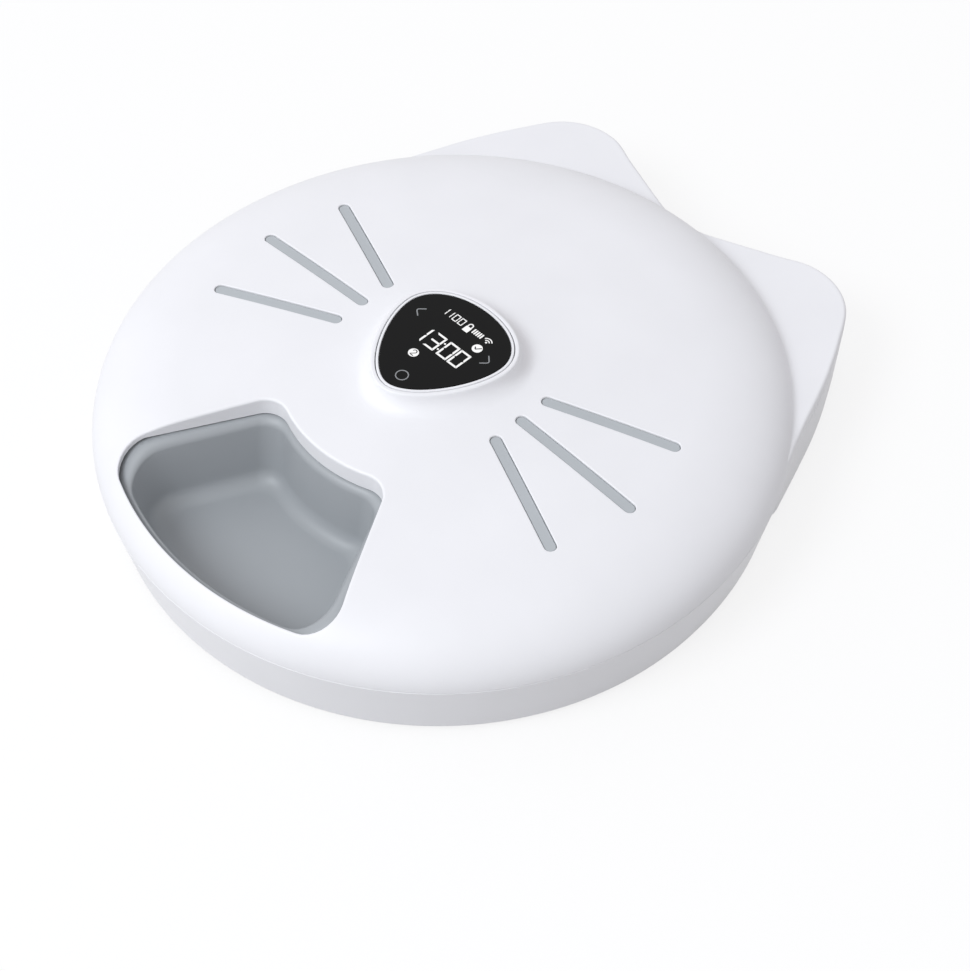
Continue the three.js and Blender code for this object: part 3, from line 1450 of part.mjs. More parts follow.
// The origin is the middle of the footprint
const footprint = new THREE.Box3().setFromObject(feeder);
feeder.position.y = -(footprint.min.y + footprint.max.y) / 2;

export default feeder;
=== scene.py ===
# %% [markdown]
# # An automatic six-meal pet feeder
#
# The real feeder is a low round body with a domed lid, two ears at the back and a small
# touch console in the middle, shaped like a cat's nose. Under the lid a grey tray with
# six compartments turns, and one opening shows the meal of the hour. This lesson dresses
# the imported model: it keeps every joint and size of it, and makes the smooth surfaces,
# rounded edges, printed signs and finishes that its solids only outline.

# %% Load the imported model
import json
import math
import bmesh
import bpy
import numpy as np
from mathutils import Matrix, Vector


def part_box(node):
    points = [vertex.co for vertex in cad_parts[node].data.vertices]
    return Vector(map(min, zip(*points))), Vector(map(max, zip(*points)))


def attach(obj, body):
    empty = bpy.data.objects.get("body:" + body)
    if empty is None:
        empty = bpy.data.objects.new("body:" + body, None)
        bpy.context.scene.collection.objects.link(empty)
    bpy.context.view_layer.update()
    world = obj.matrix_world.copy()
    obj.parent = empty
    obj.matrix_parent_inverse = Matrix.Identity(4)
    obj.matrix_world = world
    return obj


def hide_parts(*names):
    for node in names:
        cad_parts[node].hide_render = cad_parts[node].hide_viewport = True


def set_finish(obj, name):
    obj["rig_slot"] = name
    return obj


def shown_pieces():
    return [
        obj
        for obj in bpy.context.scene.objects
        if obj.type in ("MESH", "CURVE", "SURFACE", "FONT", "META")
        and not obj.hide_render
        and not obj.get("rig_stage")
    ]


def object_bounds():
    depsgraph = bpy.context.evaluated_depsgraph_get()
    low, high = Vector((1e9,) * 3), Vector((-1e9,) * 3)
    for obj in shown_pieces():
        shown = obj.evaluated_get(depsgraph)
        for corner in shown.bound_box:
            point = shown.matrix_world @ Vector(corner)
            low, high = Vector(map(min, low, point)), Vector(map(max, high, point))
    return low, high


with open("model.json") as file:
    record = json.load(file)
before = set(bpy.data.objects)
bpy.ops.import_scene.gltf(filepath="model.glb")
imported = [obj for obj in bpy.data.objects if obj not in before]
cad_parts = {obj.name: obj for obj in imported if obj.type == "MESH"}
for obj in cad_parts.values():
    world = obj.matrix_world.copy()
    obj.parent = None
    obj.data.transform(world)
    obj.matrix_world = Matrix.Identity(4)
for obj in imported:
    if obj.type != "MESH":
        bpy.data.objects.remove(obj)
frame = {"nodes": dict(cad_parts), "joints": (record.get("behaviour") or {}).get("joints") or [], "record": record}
cad_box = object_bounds()
nodes = frame["nodes"]
tray_turn = next(joint for joint in frame["joints"] if joint["name"] == "tray_turn")
axis_y = tray_turn["pos_m"][1]
print("CAD nodes:", len(nodes), "tray axis at y =", axis_y)

# %% [markdown]
# ## Working round the tray's axis
#
# A moulder draws such a body round the axis that its tray turns on, in millimetres. The
# pieces here are drawn the same way, and one last step turns millimetres into metres and
# moves the piece to its place. The back half of the body is a little longer than a half
# circle, so a spun form is stretched there.

# %% From millimetres round the axis to a piece in its place
BACK_STRETCH = 0.039
to_place = Matrix.Translation((0, axis_y, 0)) @ Matrix.Scale(0.001, 4)


def in_scene(name, data):
    """A new object of the scene that holds a mesh, a lamp or a camera."""
    made = bpy.data.objects.new(name, data)
    bpy.context.scene.collection.objects.link(made)
    return made


def show(mesh, name, body, slot, stands_for=(), sharp=32):
    """Puts a finished mesh in its place as a piece that rides on a body."""
    mesh.name = name
    mesh.transform(to_place)
    mesh.shade_smooth()
    mesh.set_sharp_from_angle(angle=math.radians(sharp))
    piece = in_scene(name, mesh)
    evener = piece.modifiers.new("even shading", "WEIGHTED_NORMAL")
    evener.keep_sharp = True
    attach(piece, body)
    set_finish(piece, slot)
    if stands_for:
        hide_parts(*stands_for)
    print(f"{name}: {len(mesh.polygons)} faces, {piece.dimensions.x * 1000:.1f} mm wide")


def mesh_of(bm):
    """Closes a bmesh into a mesh whose faces look outwards."""
    bmesh.ops.remove_doubles(bm, verts=bm.verts, dist=1e-5)
    bmesh.ops.recalc_face_normals(bm, faces=bm.faces)
    mesh = bpy.data.meshes.new("mesh")
    bm.to_mesh(mesh)
    bm.free()
    return mesh


print("millimetres are moved by", to_place.translation.to_tuple(4), "m and scaled to metres")

# %% [markdown]
# Two ways of making a form cover most of a moulded body. A section is spun round the
# axis, and where it changes from place to place each of its copies is pulled to its own
# shape. Outlines at several heights are bridged into a loft, closed at both ends.

# %% Spin and loft
def stretched(points):
    """The body's plan: points behind the axis lie a little further back."""
    points = np.array(points, float)
    points[..., 1] *= np.where(points[..., 1] > 0, 1 + BACK_STRETCH, 1)
    return points


def spun(sections, stretch=True):
    """A grid bent round the axis, whose columns are closed sections of (radius, height)."""
    steps, count = sections.shape[:2]
    turns = np.arange(steps) * 2 * math.pi / steps
    places = np.stack([
        sections[..., 0] * np.cos(turns)[:, None],
        sections[..., 0] * np.sin(turns)[:, None],
        sections[..., 1],
    ], axis=-1)
    if stretch:
        places = stretched(places)
    bm = bmesh.new()
    bmesh.ops.create_grid(bm, x_segments=count, y_segments=steps, size=0.5)
    for vert in bm.verts:
        row, turn = round((vert.co.x + 0.5) * count), round((vert.co.y + 0.5) * steps)
        vert.co = places[turn % steps, row % count]
    return mesh_of(bm)


def same_all_round(section, steps):
    return np.repeat(np.array(section, float)[None], steps, axis=0)


def loft(*stacks):
    """Solids through stacks of closed outlines, each stack listed from low to high."""
    bm = bmesh.new()
    for outlines in stacks:
        rings = []
        for outline in outlines:
            ring = [bm.verts.new(point) for point in outline]
            rings.append([bm.edges.new(pair) for pair in zip(ring, ring[1:] + ring[:1])])
        for low, high in zip(rings, rings[1:]):
            bmesh.ops.bridge_loops(bm, edges=low + high)
        for ring in (rings[0], rings[-1]):
            bmesh.ops.edgeloop_fill(bm, edges=ring)
    return mesh_of(bm)


def flat_outline(points, height):
    """An outline of (x, y) points at one height, or at a height for each point."""
    points = np.array(points, float)
    return np.column_stack([points, np.broadcast_to(height, len(points))])


print("a point 100 mm behind the axis is drawn at", stretched([(0, 100)])[0, 1], "mm")

# %% [markdown]
# Simple solids then make richer ones, as the halves and cores of a mould do it: one solid
# is joined to another, cut by it, or kept only inside it. Blender's Boolean modifier with
# the manifold solver does this exactly and fast, as long as both solids are closed.

# %% Combine solids
def combine(mesh, other, operation):
    """One solid joined to (UNION), cut by (DIFFERENCE) or kept inside (INTERSECT) another."""
    pair = [in_scene("solid", data) for data in (mesh, other)]
    step = pair[0].modifiers.new("combine", "BOOLEAN")
    step.solver = "MANIFOLD"
    step.operation = operation
    step.object = pair[1]
    seen = pair[0].evaluated_get(bpy.context.evaluated_depsgraph_get())
    result = bpy.data.meshes.new_from_object(seen)
    for solid in pair:
        data = solid.data
        bpy.data.objects.remove(solid)
        bpy.data.meshes.remove(data)
    return result


def cut_by(mesh, *cutters):
    """A solid cut by several others, one after the other."""
    for cutter in cutters:
        mesh = combine(mesh, cutter, "DIFFERENCE")
    return mesh


print("Blender", bpy.app.version_string, "combines with its manifold solver")

# %% [markdown]
# ## The curves that everything follows
#
# The dome is a shallow cap that runs into a tightening curve and meets the widest level
# upright, so that the lid has no flat and no corner. The inside of the lid, the tray's
# edge and the whisker bars all follow the same curve at their own depth.

# %% Curves
def bezier(corners, count):
    """Points along a cubic curve with four control corners."""
    a, b, c, d = np.array(corners, float)[:, None, :]
    t = np.linspace(0, 1, count)[:, None]
    return a * (1 - t) ** 3 + 3 * b * (1 - t) ** 2 * t + 3 * c * (1 - t) * t ** 2 + d * t ** 3


def beside(points, amount, closed=False):
    """Points moved to the right of the way they run, by an amount."""
    if closed:
        along = np.roll(points, -1, axis=0) - np.roll(points, 1, axis=0)
    else:
        along = np.gradient(points, axis=0)
    along /= np.linalg.norm(along, axis=1)[:, None]
    return points + np.column_stack([along[:, 1], -along[:, 0]]) * amount


print("middle of a rounded corner:", bezier([(0, 0), (0, 0.55), (0.45, 1), (1, 1)], 3)[1])

# %% Dome
BODY_RADIUS = 155
WIDEST = 35.6
DOME_TOP = 67.4
CAP_SAG = 5
RIM_RUN = 42.4
RIM_FLAT_SHARE = 0.62
RIM_FULL_SHARE = 0.55
SHELL_WALL = 2.8
CAP_STEPS = 160
RIM_STEPS = 500

cap_radius = BODY_RADIUS - RIM_RUN
cap_edge = DOME_TOP - CAP_SAG
cap_slope = 2 * CAP_SAG / cap_radius
flat = RIM_RUN * RIM_FLAT_SHARE
cap = np.linspace(0, cap_radius, CAP_STEPS)[:-1]
dome = np.vstack([
    np.column_stack([cap, DOME_TOP - CAP_SAG * (cap / cap_radius) ** 2]),
    bezier([
        (cap_radius, cap_edge),
        (cap_radius + flat, cap_edge - cap_slope * flat),
        (BODY_RADIUS, WIDEST + (cap_edge - WIDEST) * RIM_FULL_SHARE),
        (BODY_RADIUS, WIDEST),
    ], RIM_STEPS),
])


def dome_at(depth):
    """The dome's curve from its middle to its widest level, sunk by a depth."""
    return beside(dome, depth)


def dome_height(points, depth=0, stretch=True):
    """How high the dome is above points of its plan."""
    points = np.array(points, float)
    behind = points[:, 1] > 0
    y = points[:, 1] / np.where(behind & stretch, 1 + BACK_STRETCH, 1)
    curve = dome_at(depth)
    return np.interp(np.hypot(points[:, 0], y), curve[:, 0], curve[:, 1])


heights = dome_height([(0, -71.5), (0, -146.8)]).round(2)
print("dome height at the opening's edges:", heights)

# %% [markdown]
# Seen from above, the ears are one free curve on each side, and the console is a cat's
# nose: a broad rounded back and two flanks that lean towards a soft tip. Each outline is
# turned into the radius at which it stands for every turn round the axis, so that it can
# shape a spun form.

# %% Smooth curves, and how far they reach from the axis
STEPS = 480
BODY_STEPS = 320
TURN_STEP = 2 * math.pi / STEPS
turns = np.arange(STEPS) * 2 * math.pi / STEPS


def through(points, steps):
    """A smooth curve through points, as a draughtsman's spline runs."""
    points = np.array(points, float)
    last = len(points) - 1
    curve = []
    for i in range(last):
        a, b, c, d = (points[min(max(i + k, 0), last)] for k in (-1, 0, 1, 2))
        t = np.linspace(0, 1, steps, endpoint=False)[:, None]
        start, end = (c - a) / 2, (d - b) / 2
        curve.append(
            (2 * b - 2 * c + start + end) * t ** 3
            + (3 * c - 3 * b - 2 * start - end) * t ** 2 + start * t + b
        )
    return np.vstack(curve + [points[-1:]])


def reach(points):
    """The radius at which an outline round the axis stands, for each turn."""
    points = np.array(points, float)
    points[:, 1] /= np.where(points[:, 1] > 0, 1 + BACK_STRETCH, 1)
    angle = np.arctan2(points[:, 1], points[:, 0]) % (2 * math.pi)
    order = np.argsort(angle)
    radius = np.hypot(points[:, 0], points[:, 1])[order]
    return np.interp(turns, angle[order], radius, period=2 * math.pi)


print("a turn has", STEPS, "steps of", round(math.degrees(TURN_STEP), 2), "degrees")

# %% Ear and console outlines
EAR_SHARES = [
    (0.85, 0.53), (0.806, 0.66), (0.739, 0.839), (0.664, 0.994), (0.596, 1.106),
    (0.51, 1.163), (0.406, 1.172), (0.288, 1.126), (0.088, 1.049), (0, 1.016),
]
EAR_INSIDE = 0.15
STEEPEST_SLANT = 1.6
NOSE_HALF_WIDTH = 28.3
NOSE_BACK = 28.2
NOSE_FRONT = 31
NOSE_WIDEST_Y = 9
NOSE_TIP_SHARE = 0.42
NOSE_FLANK_SHARE = 0.4
NOSE_SHOULDER_SHARE = 0.6
NOSE_BACK_SHARE = 0.56


def nose(grow, steps=160):
    """The console's outline, anticlockwise, grown by an amount."""
    half, widest = NOSE_HALF_WIDTH, NOSE_WIDEST_Y
    front = bezier([
        (0, -NOSE_FRONT), (half * NOSE_TIP_SHARE, -NOSE_FRONT),
        (half, widest - (NOSE_FRONT + widest) * NOSE_FLANK_SHARE), (half, widest),
    ], steps)
    back = bezier([
        (half, widest), (half, widest + (NOSE_BACK - widest) * NOSE_SHOULDER_SHARE),
        (half * NOSE_BACK_SHARE, NOSE_BACK), (0, NOSE_BACK),
    ], steps)
    right = np.vstack([front, back[1:]])
    left = (right[1:-1] * (-1, 1))[::-1]
    return beside(np.vstack([right, left]), grow, closed=True)


ear_edge = through(np.array(EAR_SHARES) * BODY_RADIUS, 60)
both_ears = np.vstack([ear_edge, (ear_edge[:-1] * (-1, 1))[::-1], [(-1, -1), (1, -1)]])
ear_reach = reach(both_ears) - EAR_INSIDE
ear_slope = np.gradient(np.concatenate([ear_reach[-1:], ear_reach, ear_reach[:1]]))[1:-1]
ear_slant = np.minimum(np.hypot(1, ear_slope / ear_reach / TURN_STEP), STEEPEST_SLANT)
print("ear tip reaches", ear_reach.max().round(1), "mm before the stretch")
print("console:", np.ptp(nose(0), axis=0).round(1), "mm")

# %% [markdown]
# ## The lid
#
# A moulded dome of satin white plastic. Its skin rises into a neck round the console,
# runs out into the flat top of each ear and ends in a thin seam line above the base. The
# crease between dome and ear is softened by a small radius, as a mould maker would do
# it, and so is the outer edge of the ear. The section is worked out anew for each of
# 480 turns, because the ears and the nose are not round. Its rows stand close together
# where it bends and further apart where it is nearly straight.

# %% Rounds, soft corners and rows
FINE = 0.25
WIDEST_STEP = 2.4
FINEST_STEP = 0.22


def quarter_round(radius, steps):
    """Steps over a quarter round, each as the way in from its side and the way up."""
    turn = np.linspace(0, math.pi / 2, steps)
    return [(radius * (1 - math.sin(t)), radius * (1 - math.cos(t))) for t in turn]


def soft_max(a, b, blend):
    """The larger of two, with the corner between them rounded."""
    near = np.maximum(blend - np.abs(a - b), 0) / blend
    return np.maximum(a, b) + near ** 2 * blend / 4


def spread(line, rows, marks, start=0, end=None):
    """Picks rows along a part of a line, closer together near the marked places."""
    way = np.concatenate([[0], np.cumsum(np.hypot(*np.diff(line, axis=0).T))])
    end = way[-1] if end is None else end
    fine = np.linspace(start, end, max(int((end - start) / FINE), 4 * rows))
    spacing = np.full(len(fine), WIDEST_STEP)
    for mark in marks:
        spacing = np.minimum(spacing, FINEST_STEP + FINEST_STEP * np.abs(fine - mark))
    share = np.concatenate([[0], np.cumsum(2 / (spacing[1:] + spacing[:-1]) * np.diff(fine))])
    at = np.interp(np.linspace(0, share[-1], rows), share, fine)
    return np.column_stack([np.interp(at, way, line[:, k]) for k in (0, 1)])


print("steps over a quarter round of 1 mm:", np.round(quarter_round(1, 4), 3).tolist())

# %% The line of the lid's section
LID_LOW = 36.2
EAR_TOP = 42
EAR_EDGE = 1.6
EAR_EDGE_INSIDE = 0.6
EAR_ROWS_SHARE = 0.34
SIDE_LEVELS = 60
CREASE = 1.1
ROOT_BLEND = 5


def skin_line(curve, ear, slant, top, low, edge, start, rows):
    """The line of dome and ear together in one section, from high to low."""
    levels = np.linspace(top, low, SIDE_LEVELS)
    rise = np.clip(levels - (top - edge), 0, edge)
    inset = (edge - np.sqrt(edge ** 2 - rise ** 2)) * slant
    body = np.interp(levels, curve[::-1, 1], curve[::-1, 0])
    side = soft_max(body, ear - inset, ROOT_BLEND)
    above = curve[(curve[:, 1] > top) & (curve[:, 0] > start)]
    head = [start, np.interp(start, curve[:, 0], curve[:, 1])]
    line = np.vstack([head, above, [body[0], top]])
    crease_at = np.hypot(*np.diff(line, axis=0).T).sum()
    shelf = side[0] - body[0]
    line = np.vstack([line, [side[0], top], np.column_stack([side, levels])[1:]])
    keep = np.concatenate([[True], np.hypot(*np.diff(line, axis=0).T) > 1e-6])
    line = line[keep]
    way = np.concatenate([[0], np.cumsum(np.hypot(*np.diff(line, axis=0).T))])
    fine = np.linspace(0, way[-1], int(way[-1] / FINE))
    line = np.column_stack([np.interp(fine, way, line[:, k]) for k in (0, 1)])
    reach_of_blur = int(4 * CREASE / FINE)
    blur = np.exp(-0.5 * (np.arange(-reach_of_blur, reach_of_blur + 1) * FINE / CREASE) ** 2)
    blur /= blur.sum()
    padded = np.pad(line, ((reach_of_blur, reach_of_blur), (0, 0)), mode="edge")
    soft = np.column_stack([np.convolve(padded[:, k], blur, "valid") for k in (0, 1)])
    weight = np.clip(2 - np.abs(fine - crease_at) / (2 * CREASE), 0, 1) * min(shelf / 2, 1)
    line += (soft - line) * weight[:, None]
    lower_rows = int(rows * EAR_ROWS_SHARE)
    upper = spread(line, rows - lower_rows, [crease_at], 0, crease_at)
    ends = [crease_at, crease_at + shelf, way[-1]]
    return np.vstack([upper[:-1], spread(line, lower_rows + 1, ends, crease_at)])


print("ear edge and crease are rounded by", EAR_EDGE, "and", CREASE, "mm")

# %% Lid skin
HOLE_GROW = 1.9
HOLE_EDGE = 0.3
NECK_GROW = 3.9
NECK_FILLET = 7
NECK_EDGE = 0.8
SEAM_EDGE = 0.3
GLASS_TOP = 75.595
OUTER_ROWS = 112
INNER_ROWS = 56

outer_dome = dome_at(0)
inner_dome = dome_at(SHELL_WALL)
hole = reach(nose(HOLE_GROW))
foot = reach(nose(NECK_GROW + NECK_FILLET))
foot_height = np.interp(foot, outer_dome[:, 0], outer_dome[:, 1])
hole_height = np.interp(hole, inner_dome[:, 0], inner_dome[:, 1])
neck = [(hole, hole_height), (hole, GLASS_TOP - HOLE_EDGE)]
for inward, up in quarter_round(HOLE_EDGE, 6)[1:]:
    neck.append((reach(nose(HOLE_GROW + up)), GLASS_TOP - inward))
for inward, up in quarter_round(NECK_EDGE, 6):
    neck.append((reach(nose(NECK_GROW - inward)), GLASS_TOP - up))
for inward, up in quarter_round(NECK_FILLET, 12)[:0:-1]:
    neck.append((reach(nose(NECK_GROW + inward)), foot_height + up))
neck = np.array([(radius, np.broadcast_to(height, STEPS)) for radius, height in neck])
sections = []
for i in range(STEPS):
    outside = skin_line(
        outer_dome, ear_reach[i], ear_slant[i], EAR_TOP, LID_LOW, EAR_EDGE, foot[i], OUTER_ROWS,
    )
    inside = skin_line(
        inner_dome, ear_reach[i] - SHELL_WALL * ear_slant[i], ear_slant[i],
        EAR_TOP - SHELL_WALL, LID_LOW, EAR_EDGE_INSIDE, hole[i], INNER_ROWS,
    )
    rim = outside[-1, 0]
    outside[-1] = (rim, LID_LOW + SEAM_EDGE)
    seam = [(rim - SEAM_EDGE, LID_LOW)]
    sections.append(np.vstack([neck[:, :, i], outside, seam, inside[::-1][:-1]]))
lid = spun(np.array(sections))
print("lid skin:", len(lid.polygons), "faces")

# %% [markdown]
# The meal opening and the whisker slots are cut straight down, and their upper edges are
# rolled outwards into the dome, so that no edge is sharp to a cat's chin. Each cutting
# form therefore flares at its top and follows the height of the dome above every point
# of its outline. A short lip hangs from the inner part of the opening and keeps food
# from creeping under the lid.

# %% Outline of the opening and of a compartment
FLANK_STEPS = 12


def sector(inner, outer, half_angle, corner_in, corner_out, inset, arc=24, corner=10):
    """A ring sector on the front side with rounded corners, shrunk by an inset."""
    low, high, half = inner + inset, outer - inset, math.radians(half_angle)
    side = np.array([math.sin(half), -math.cos(half)])
    inward = np.array([-math.cos(half), -math.sin(half)])

    def centre(radius, corner_radius):
        run = math.sqrt(radius ** 2 - (inset + corner_radius) ** 2)
        return side * run + inward * (inset + corner_radius)

    def bow(middle, radius, start, end, steps):
        t = np.linspace(start, end, steps)[:, None]
        return middle + radius * np.hstack([np.cos(t), np.sin(t)])

    far = centre(high - corner_out, corner_out)
    near = centre(low + corner_in, corner_in)
    far_turn, near_turn = math.atan2(far[1], far[0]), math.atan2(near[1], near[0])
    across = math.atan2(-inward[1], -inward[0])
    origin = np.zeros(2)
    right = np.vstack([
        bow(origin, high, -math.pi / 2, far_turn, arc)[:-1],
        bow(far, corner_out, far_turn, across, corner),
        bow(near, corner_in, across, near_turn + math.pi, corner),
        bow(origin, low, near_turn, -math.pi / 2, arc)[1:],
    ])
    gap = arc - 1 + corner
    flank = np.linspace(right[gap - 1], right[gap], FLANK_STEPS + 2)[1:-1]
    right = np.vstack([right[:gap], flank, right[gap:]])
    return np.vstack([right, (right[1:-1] * (-1, 1))[::-1]])


print("a sector's outline:", len(sector(70, 140, 28, 10, 15, 0)), "points")

# %% Outlines of a slot and of a ring
SLOT_WIDTH = 5.5
SLOT_END_STEPS = 13
SLOT_SIDE_STEPS = 26


def slot(near, far, width, grow=0):
    """A round-ended slot between its far ends, with points along its sides."""
    near, far = np.array(near, float), np.array(far, float)
    along = (far - near) / np.linalg.norm(far - near)
    start, end = near + along * SLOT_WIDTH / 2, far - along * SLOT_WIDTH / 2
    heading = math.atan2(along[1], along[0])
    radius = width / 2 + grow
    outline = []
    for centre, turn, other in ((end, -math.pi / 2, start), (start, math.pi / 2, end)):
        t = heading + turn + np.linspace(0, math.pi, SLOT_END_STEPS)[:, None]
        bow = centre + radius * np.hstack([np.cos(t), np.sin(t)])
        side = np.linspace(bow[-1], bow[-1] + other - centre, SLOT_SIDE_STEPS)[1:-1]
        outline += [bow, side]
    return np.vstack(outline)


def ring(radius, x=0, y=0, steps=48):
    t = np.linspace(0, 2 * math.pi, steps, endpoint=False)[:, None]
    return np.array([x, y]) + radius * np.hstack([np.cos(t), np.sin(t)])


print("a whisker slot's outline:", len(slot((0, 0), (20, 0), SLOT_WIDTH)), "points")

# %% Plain solids for cutting
def box(low_x, high_x, low_y, high_y, low_z, high_z):
    bm = bmesh.new()
    bmesh.ops.create_cube(bm, size=1)
    size = Vector((high_x - low_x, high_y - low_y, high_z - low_z))
    middle = Vector((high_x + low_x, high_y + low_y, high_z + low_z)) / 2
    bmesh.ops.transform(bm, matrix=Matrix.LocRotScale(middle, None, size), verts=bm.verts)
    return mesh_of(bm)


def rod(radius, low, high, x=0, y=0):
    """An upright round rod."""
    return loft([flat_outline(ring(radius, x, y), z) for z in (low, high)])


def dome_solid(depth, low):
    """All that lies under the dome's curve at a depth, down to a level."""
    curve = spread(dome_at(depth), 90, [])
    curve = curve[curve[:, 1] > low]
    curve[0, 0] = 0
    section = np.vstack([curve, [(curve[-1, 0], low), (0, low)]])
    return spun(same_all_round(section, BODY_STEPS))


print("a rod's outline:", len(ring(10)), "points")

# %% Meal opening, whisker slots and lip of the lid
CLEAR = 0.02
ABOVE = GLASS_TOP + 5
OPENING = (71.5, 146.8, 28.7)
OPENING_CORNERS = (11, 14)
OPENING_EDGE = 1.2
OPENING_CUT_LOW = 40
SLOT_EDGE = 0.45
SLOT_CUT_LOW = 50
SLOTS = [
    ((47.4, 0), (115.5, 0)), ((47.7, 14.6), (106.3, 38.9)), ((47.7, -14.6), (106.3, -38.9)),
]
LIP_LOW = 56
LIP_EDGE = 0.5
LIP_DEPTH = 0.5


def opening(grow):
    inner, outer = (corner + grow for corner in OPENING_CORNERS)
    return sector(*OPENING, inner, outer, -grow)


def flared(outline_at, edge, low):
    """A cutter whose top rolls outwards into the dome: outline_at(grow) gives its plan."""
    straight = outline_at(0)
    stack = [flat_outline(straight, low)]
    for inward, up in quarter_round(edge, 7):
        plan = outline_at(up)
        stack.append(flat_outline(plan, dome_height(plan) - inward))
    widest = outline_at(edge + CLEAR)
    stack.append(flat_outline(widest, dome_height(widest) + CLEAR))
    stack.append(flat_outline(widest, ABOVE))
    return stack


slot_stacks = []
for sign in (1, -1):
    for near, far in SLOTS:
        ends = [(x * sign, y) for x, y in (near, far)]
        slot_stacks.append(flared(
            lambda grow: slot(*ends, SLOT_WIDTH, grow), SLOT_EDGE, SLOT_CUT_LOW,
        ))
lip = loft([
    flat_outline(opening(SHELL_WALL - LIP_EDGE), LIP_LOW),
    flat_outline(opening(SHELL_WALL), LIP_LOW + LIP_EDGE),
    flat_outline(opening(SHELL_WALL), DOME_TOP + 5),
])
lid = combine(lid, combine(lip, dome_solid(LIP_DEPTH, LID_LOW), "INTERSECT"), "UNION")
print("outline of the opening:", len(opening(0)), "points")

# %% [markdown]
# Under the lid a rib meets the rim seal, and a cup in each ear holds the magnet that
# draws the lid down. They are joined first, and the opening and the slots are cut last,
# so that their rolled edges stay clean.

# %% Seal rib, magnet cups and cuts of the lid
SEAL_RADIUS = 150
RIB_HALF = 0.8
RIB_LOW = 38.2
EAR_POST = (75.02, 150.97)
CUP_OUTSIDE = (6.7, 36.5, 40.6)
CUP_INSIDE = (5.3, 30, 39.2)
rib_in, rib_out = SEAL_RADIUS - RIB_HALF, SEAL_RADIUS + RIB_HALF
rib = [(rib_in, RIB_LOW), (rib_out, RIB_LOW), (rib_out, DOME_TOP), (rib_in, DOME_TOP)]
rib = spun(same_all_round(rib, BODY_STEPS), stretch=False)
lid = combine(lid, combine(rib, dome_solid(SHELL_WALL / 2, LID_LOW), "INTERSECT"), "UNION")
ear_posts = [(EAR_POST[0] * sign, EAR_POST[1]) for sign in (1, -1)]
for x, y in ear_posts:
    lid = combine(lid, cut_by(rod(*CUP_OUTSIDE, x, y), rod(*CUP_INSIDE, x, y)), "UNION")
lid = cut_by(lid, loft(flared(opening, OPENING_EDGE, OPENING_CUT_LOW)), loft(*slot_stacks))
show(lid, "lid_cover", "lid", "shell_white", ["lid_shell"])

# %% [markdown]
# The whiskers are grey bars that fill the slots from below. On the real lid they are one
# moulding on each side, three bars on a thin plate that is welded under the dome. Their
# tops lie a little below the skin, which gives each slot its fine shadow line.

# %% Whisker inlays
BAR_WIDTH = 4.9
# Each level of a bar as how far it grows or shrinks and how deep it lies under the skin:
# upright sides, a rounded edge, and a top that closes in steps to follow the dome
BAR_LEVELS = [
    (0, 4.2), (0, 1.0), (-0.06, 0.82), (-0.25, 0.72), (-0.5, 0.7), (-1.3, 0.7), (-2.1, 0.7),
    (-2.44, 0.7),
]
PLATE_TOP = 3.1
PLATE_LOW = 4.7
PLATE_PLAN = [
    (43.4, -18.6), (106.3, -42.9), (119.4, -4), (119.4, 4), (106.3, 42.9), (43.4, 18.6),
]


def whisker_bar(near, far):
    stack = []
    for grow, depth in BAR_LEVELS:
        plan = slot(near, far, BAR_WIDTH, grow)
        stack.append(flat_outline(plan, dome_height(plan) - depth))
    return stack


for sign, side in ((1, "right"), (-1, "left")):
    bars = loft(*[whisker_bar((a[0] * sign, a[1]), (b[0] * sign, b[1])) for a, b in SLOTS])
    plan = [(x * sign, y) for x, y in PLATE_PLAN]
    plate = loft([flat_outline(plan, z) for z in (50, 70)])
    plate = combine(plate, dome_solid(PLATE_TOP, 40), "INTERSECT")
    plate = combine(plate, dome_solid(PLATE_LOW, 36), "DIFFERENCE")
    show(
        combine(bars, plate, "UNION"), f"whisker_moulding_{side}", "lid", "whisker_grey",
        [f"whisker_inlay_{side}"],
    )

# %% [markdown]
# ## The base pan
#
# The lower half of the body is a drafted pan, wider at the seam than at the floor, with
# the lower halves of the ears. Its corner at the floor is rounded, outside and inside, so
# its section runs up the outside, over the rim and down the inside. The ears are drafted
# less than the round wall.

# %% Base pan
PAN_LOW = 2
PAN_HIGH = 35.8
PAN_FLOOR = 4.6
PAN_WALL = 2.6
PAN_DRAFT = 6
EAR_DRAFT_SHARE = 0.2
PAN_ROUND = 3


def pan_radius(draft, inset):
    """The pan's plan radius for each turn; the ears take only a share of the draft."""
    ears = ear_reach - (draft * EAR_DRAFT_SHARE + inset) * ear_slant
    return soft_max(np.full(STEPS, BODY_RADIUS - draft - inset), ears, ROOT_BLEND)


def draft_at(height):
    return PAN_DRAFT * max(WIDEST - height, 0) / (WIDEST - PAN_LOW)


def at_height(height):
    return np.full(STEPS, height)


outer_low, inner_low = PAN_LOW + PAN_ROUND, PAN_FLOOR + PAN_ROUND
levels = [
    (draft_at(outer_low), inward, PAN_LOW + up) for inward, up in quarter_round(PAN_ROUND, 7)
]
levels += [(draft_at(z), 0, z) for z in np.linspace(outer_low, PAN_HIGH - SEAM_EDGE, 9)[1:]]
levels += [(0, SEAM_EDGE, PAN_HIGH), (0, PAN_WALL, PAN_HIGH)]
levels += [(draft_at(z), PAN_WALL, z) for z in np.linspace(WIDEST - 1, inner_low, 7)]
levels += [
    (draft_at(inner_low), PAN_WALL + inward, PAN_FLOOR + up)
    for inward, up in quarter_round(PAN_ROUND, 6)[-2::-1]
]
rows = [
    np.column_stack([pan_radius(drawn, inset), at_height(height)])
    for drawn, inset, height in levels
]
first, last = (np.column_stack([at_height(0), at_height(z)]) for z in (PAN_LOW, PAN_FLOOR))
pan = spun(np.stack([first] + rows + [last], axis=1))
print("pan:", len(pan.polygons), "faces before it is cut")

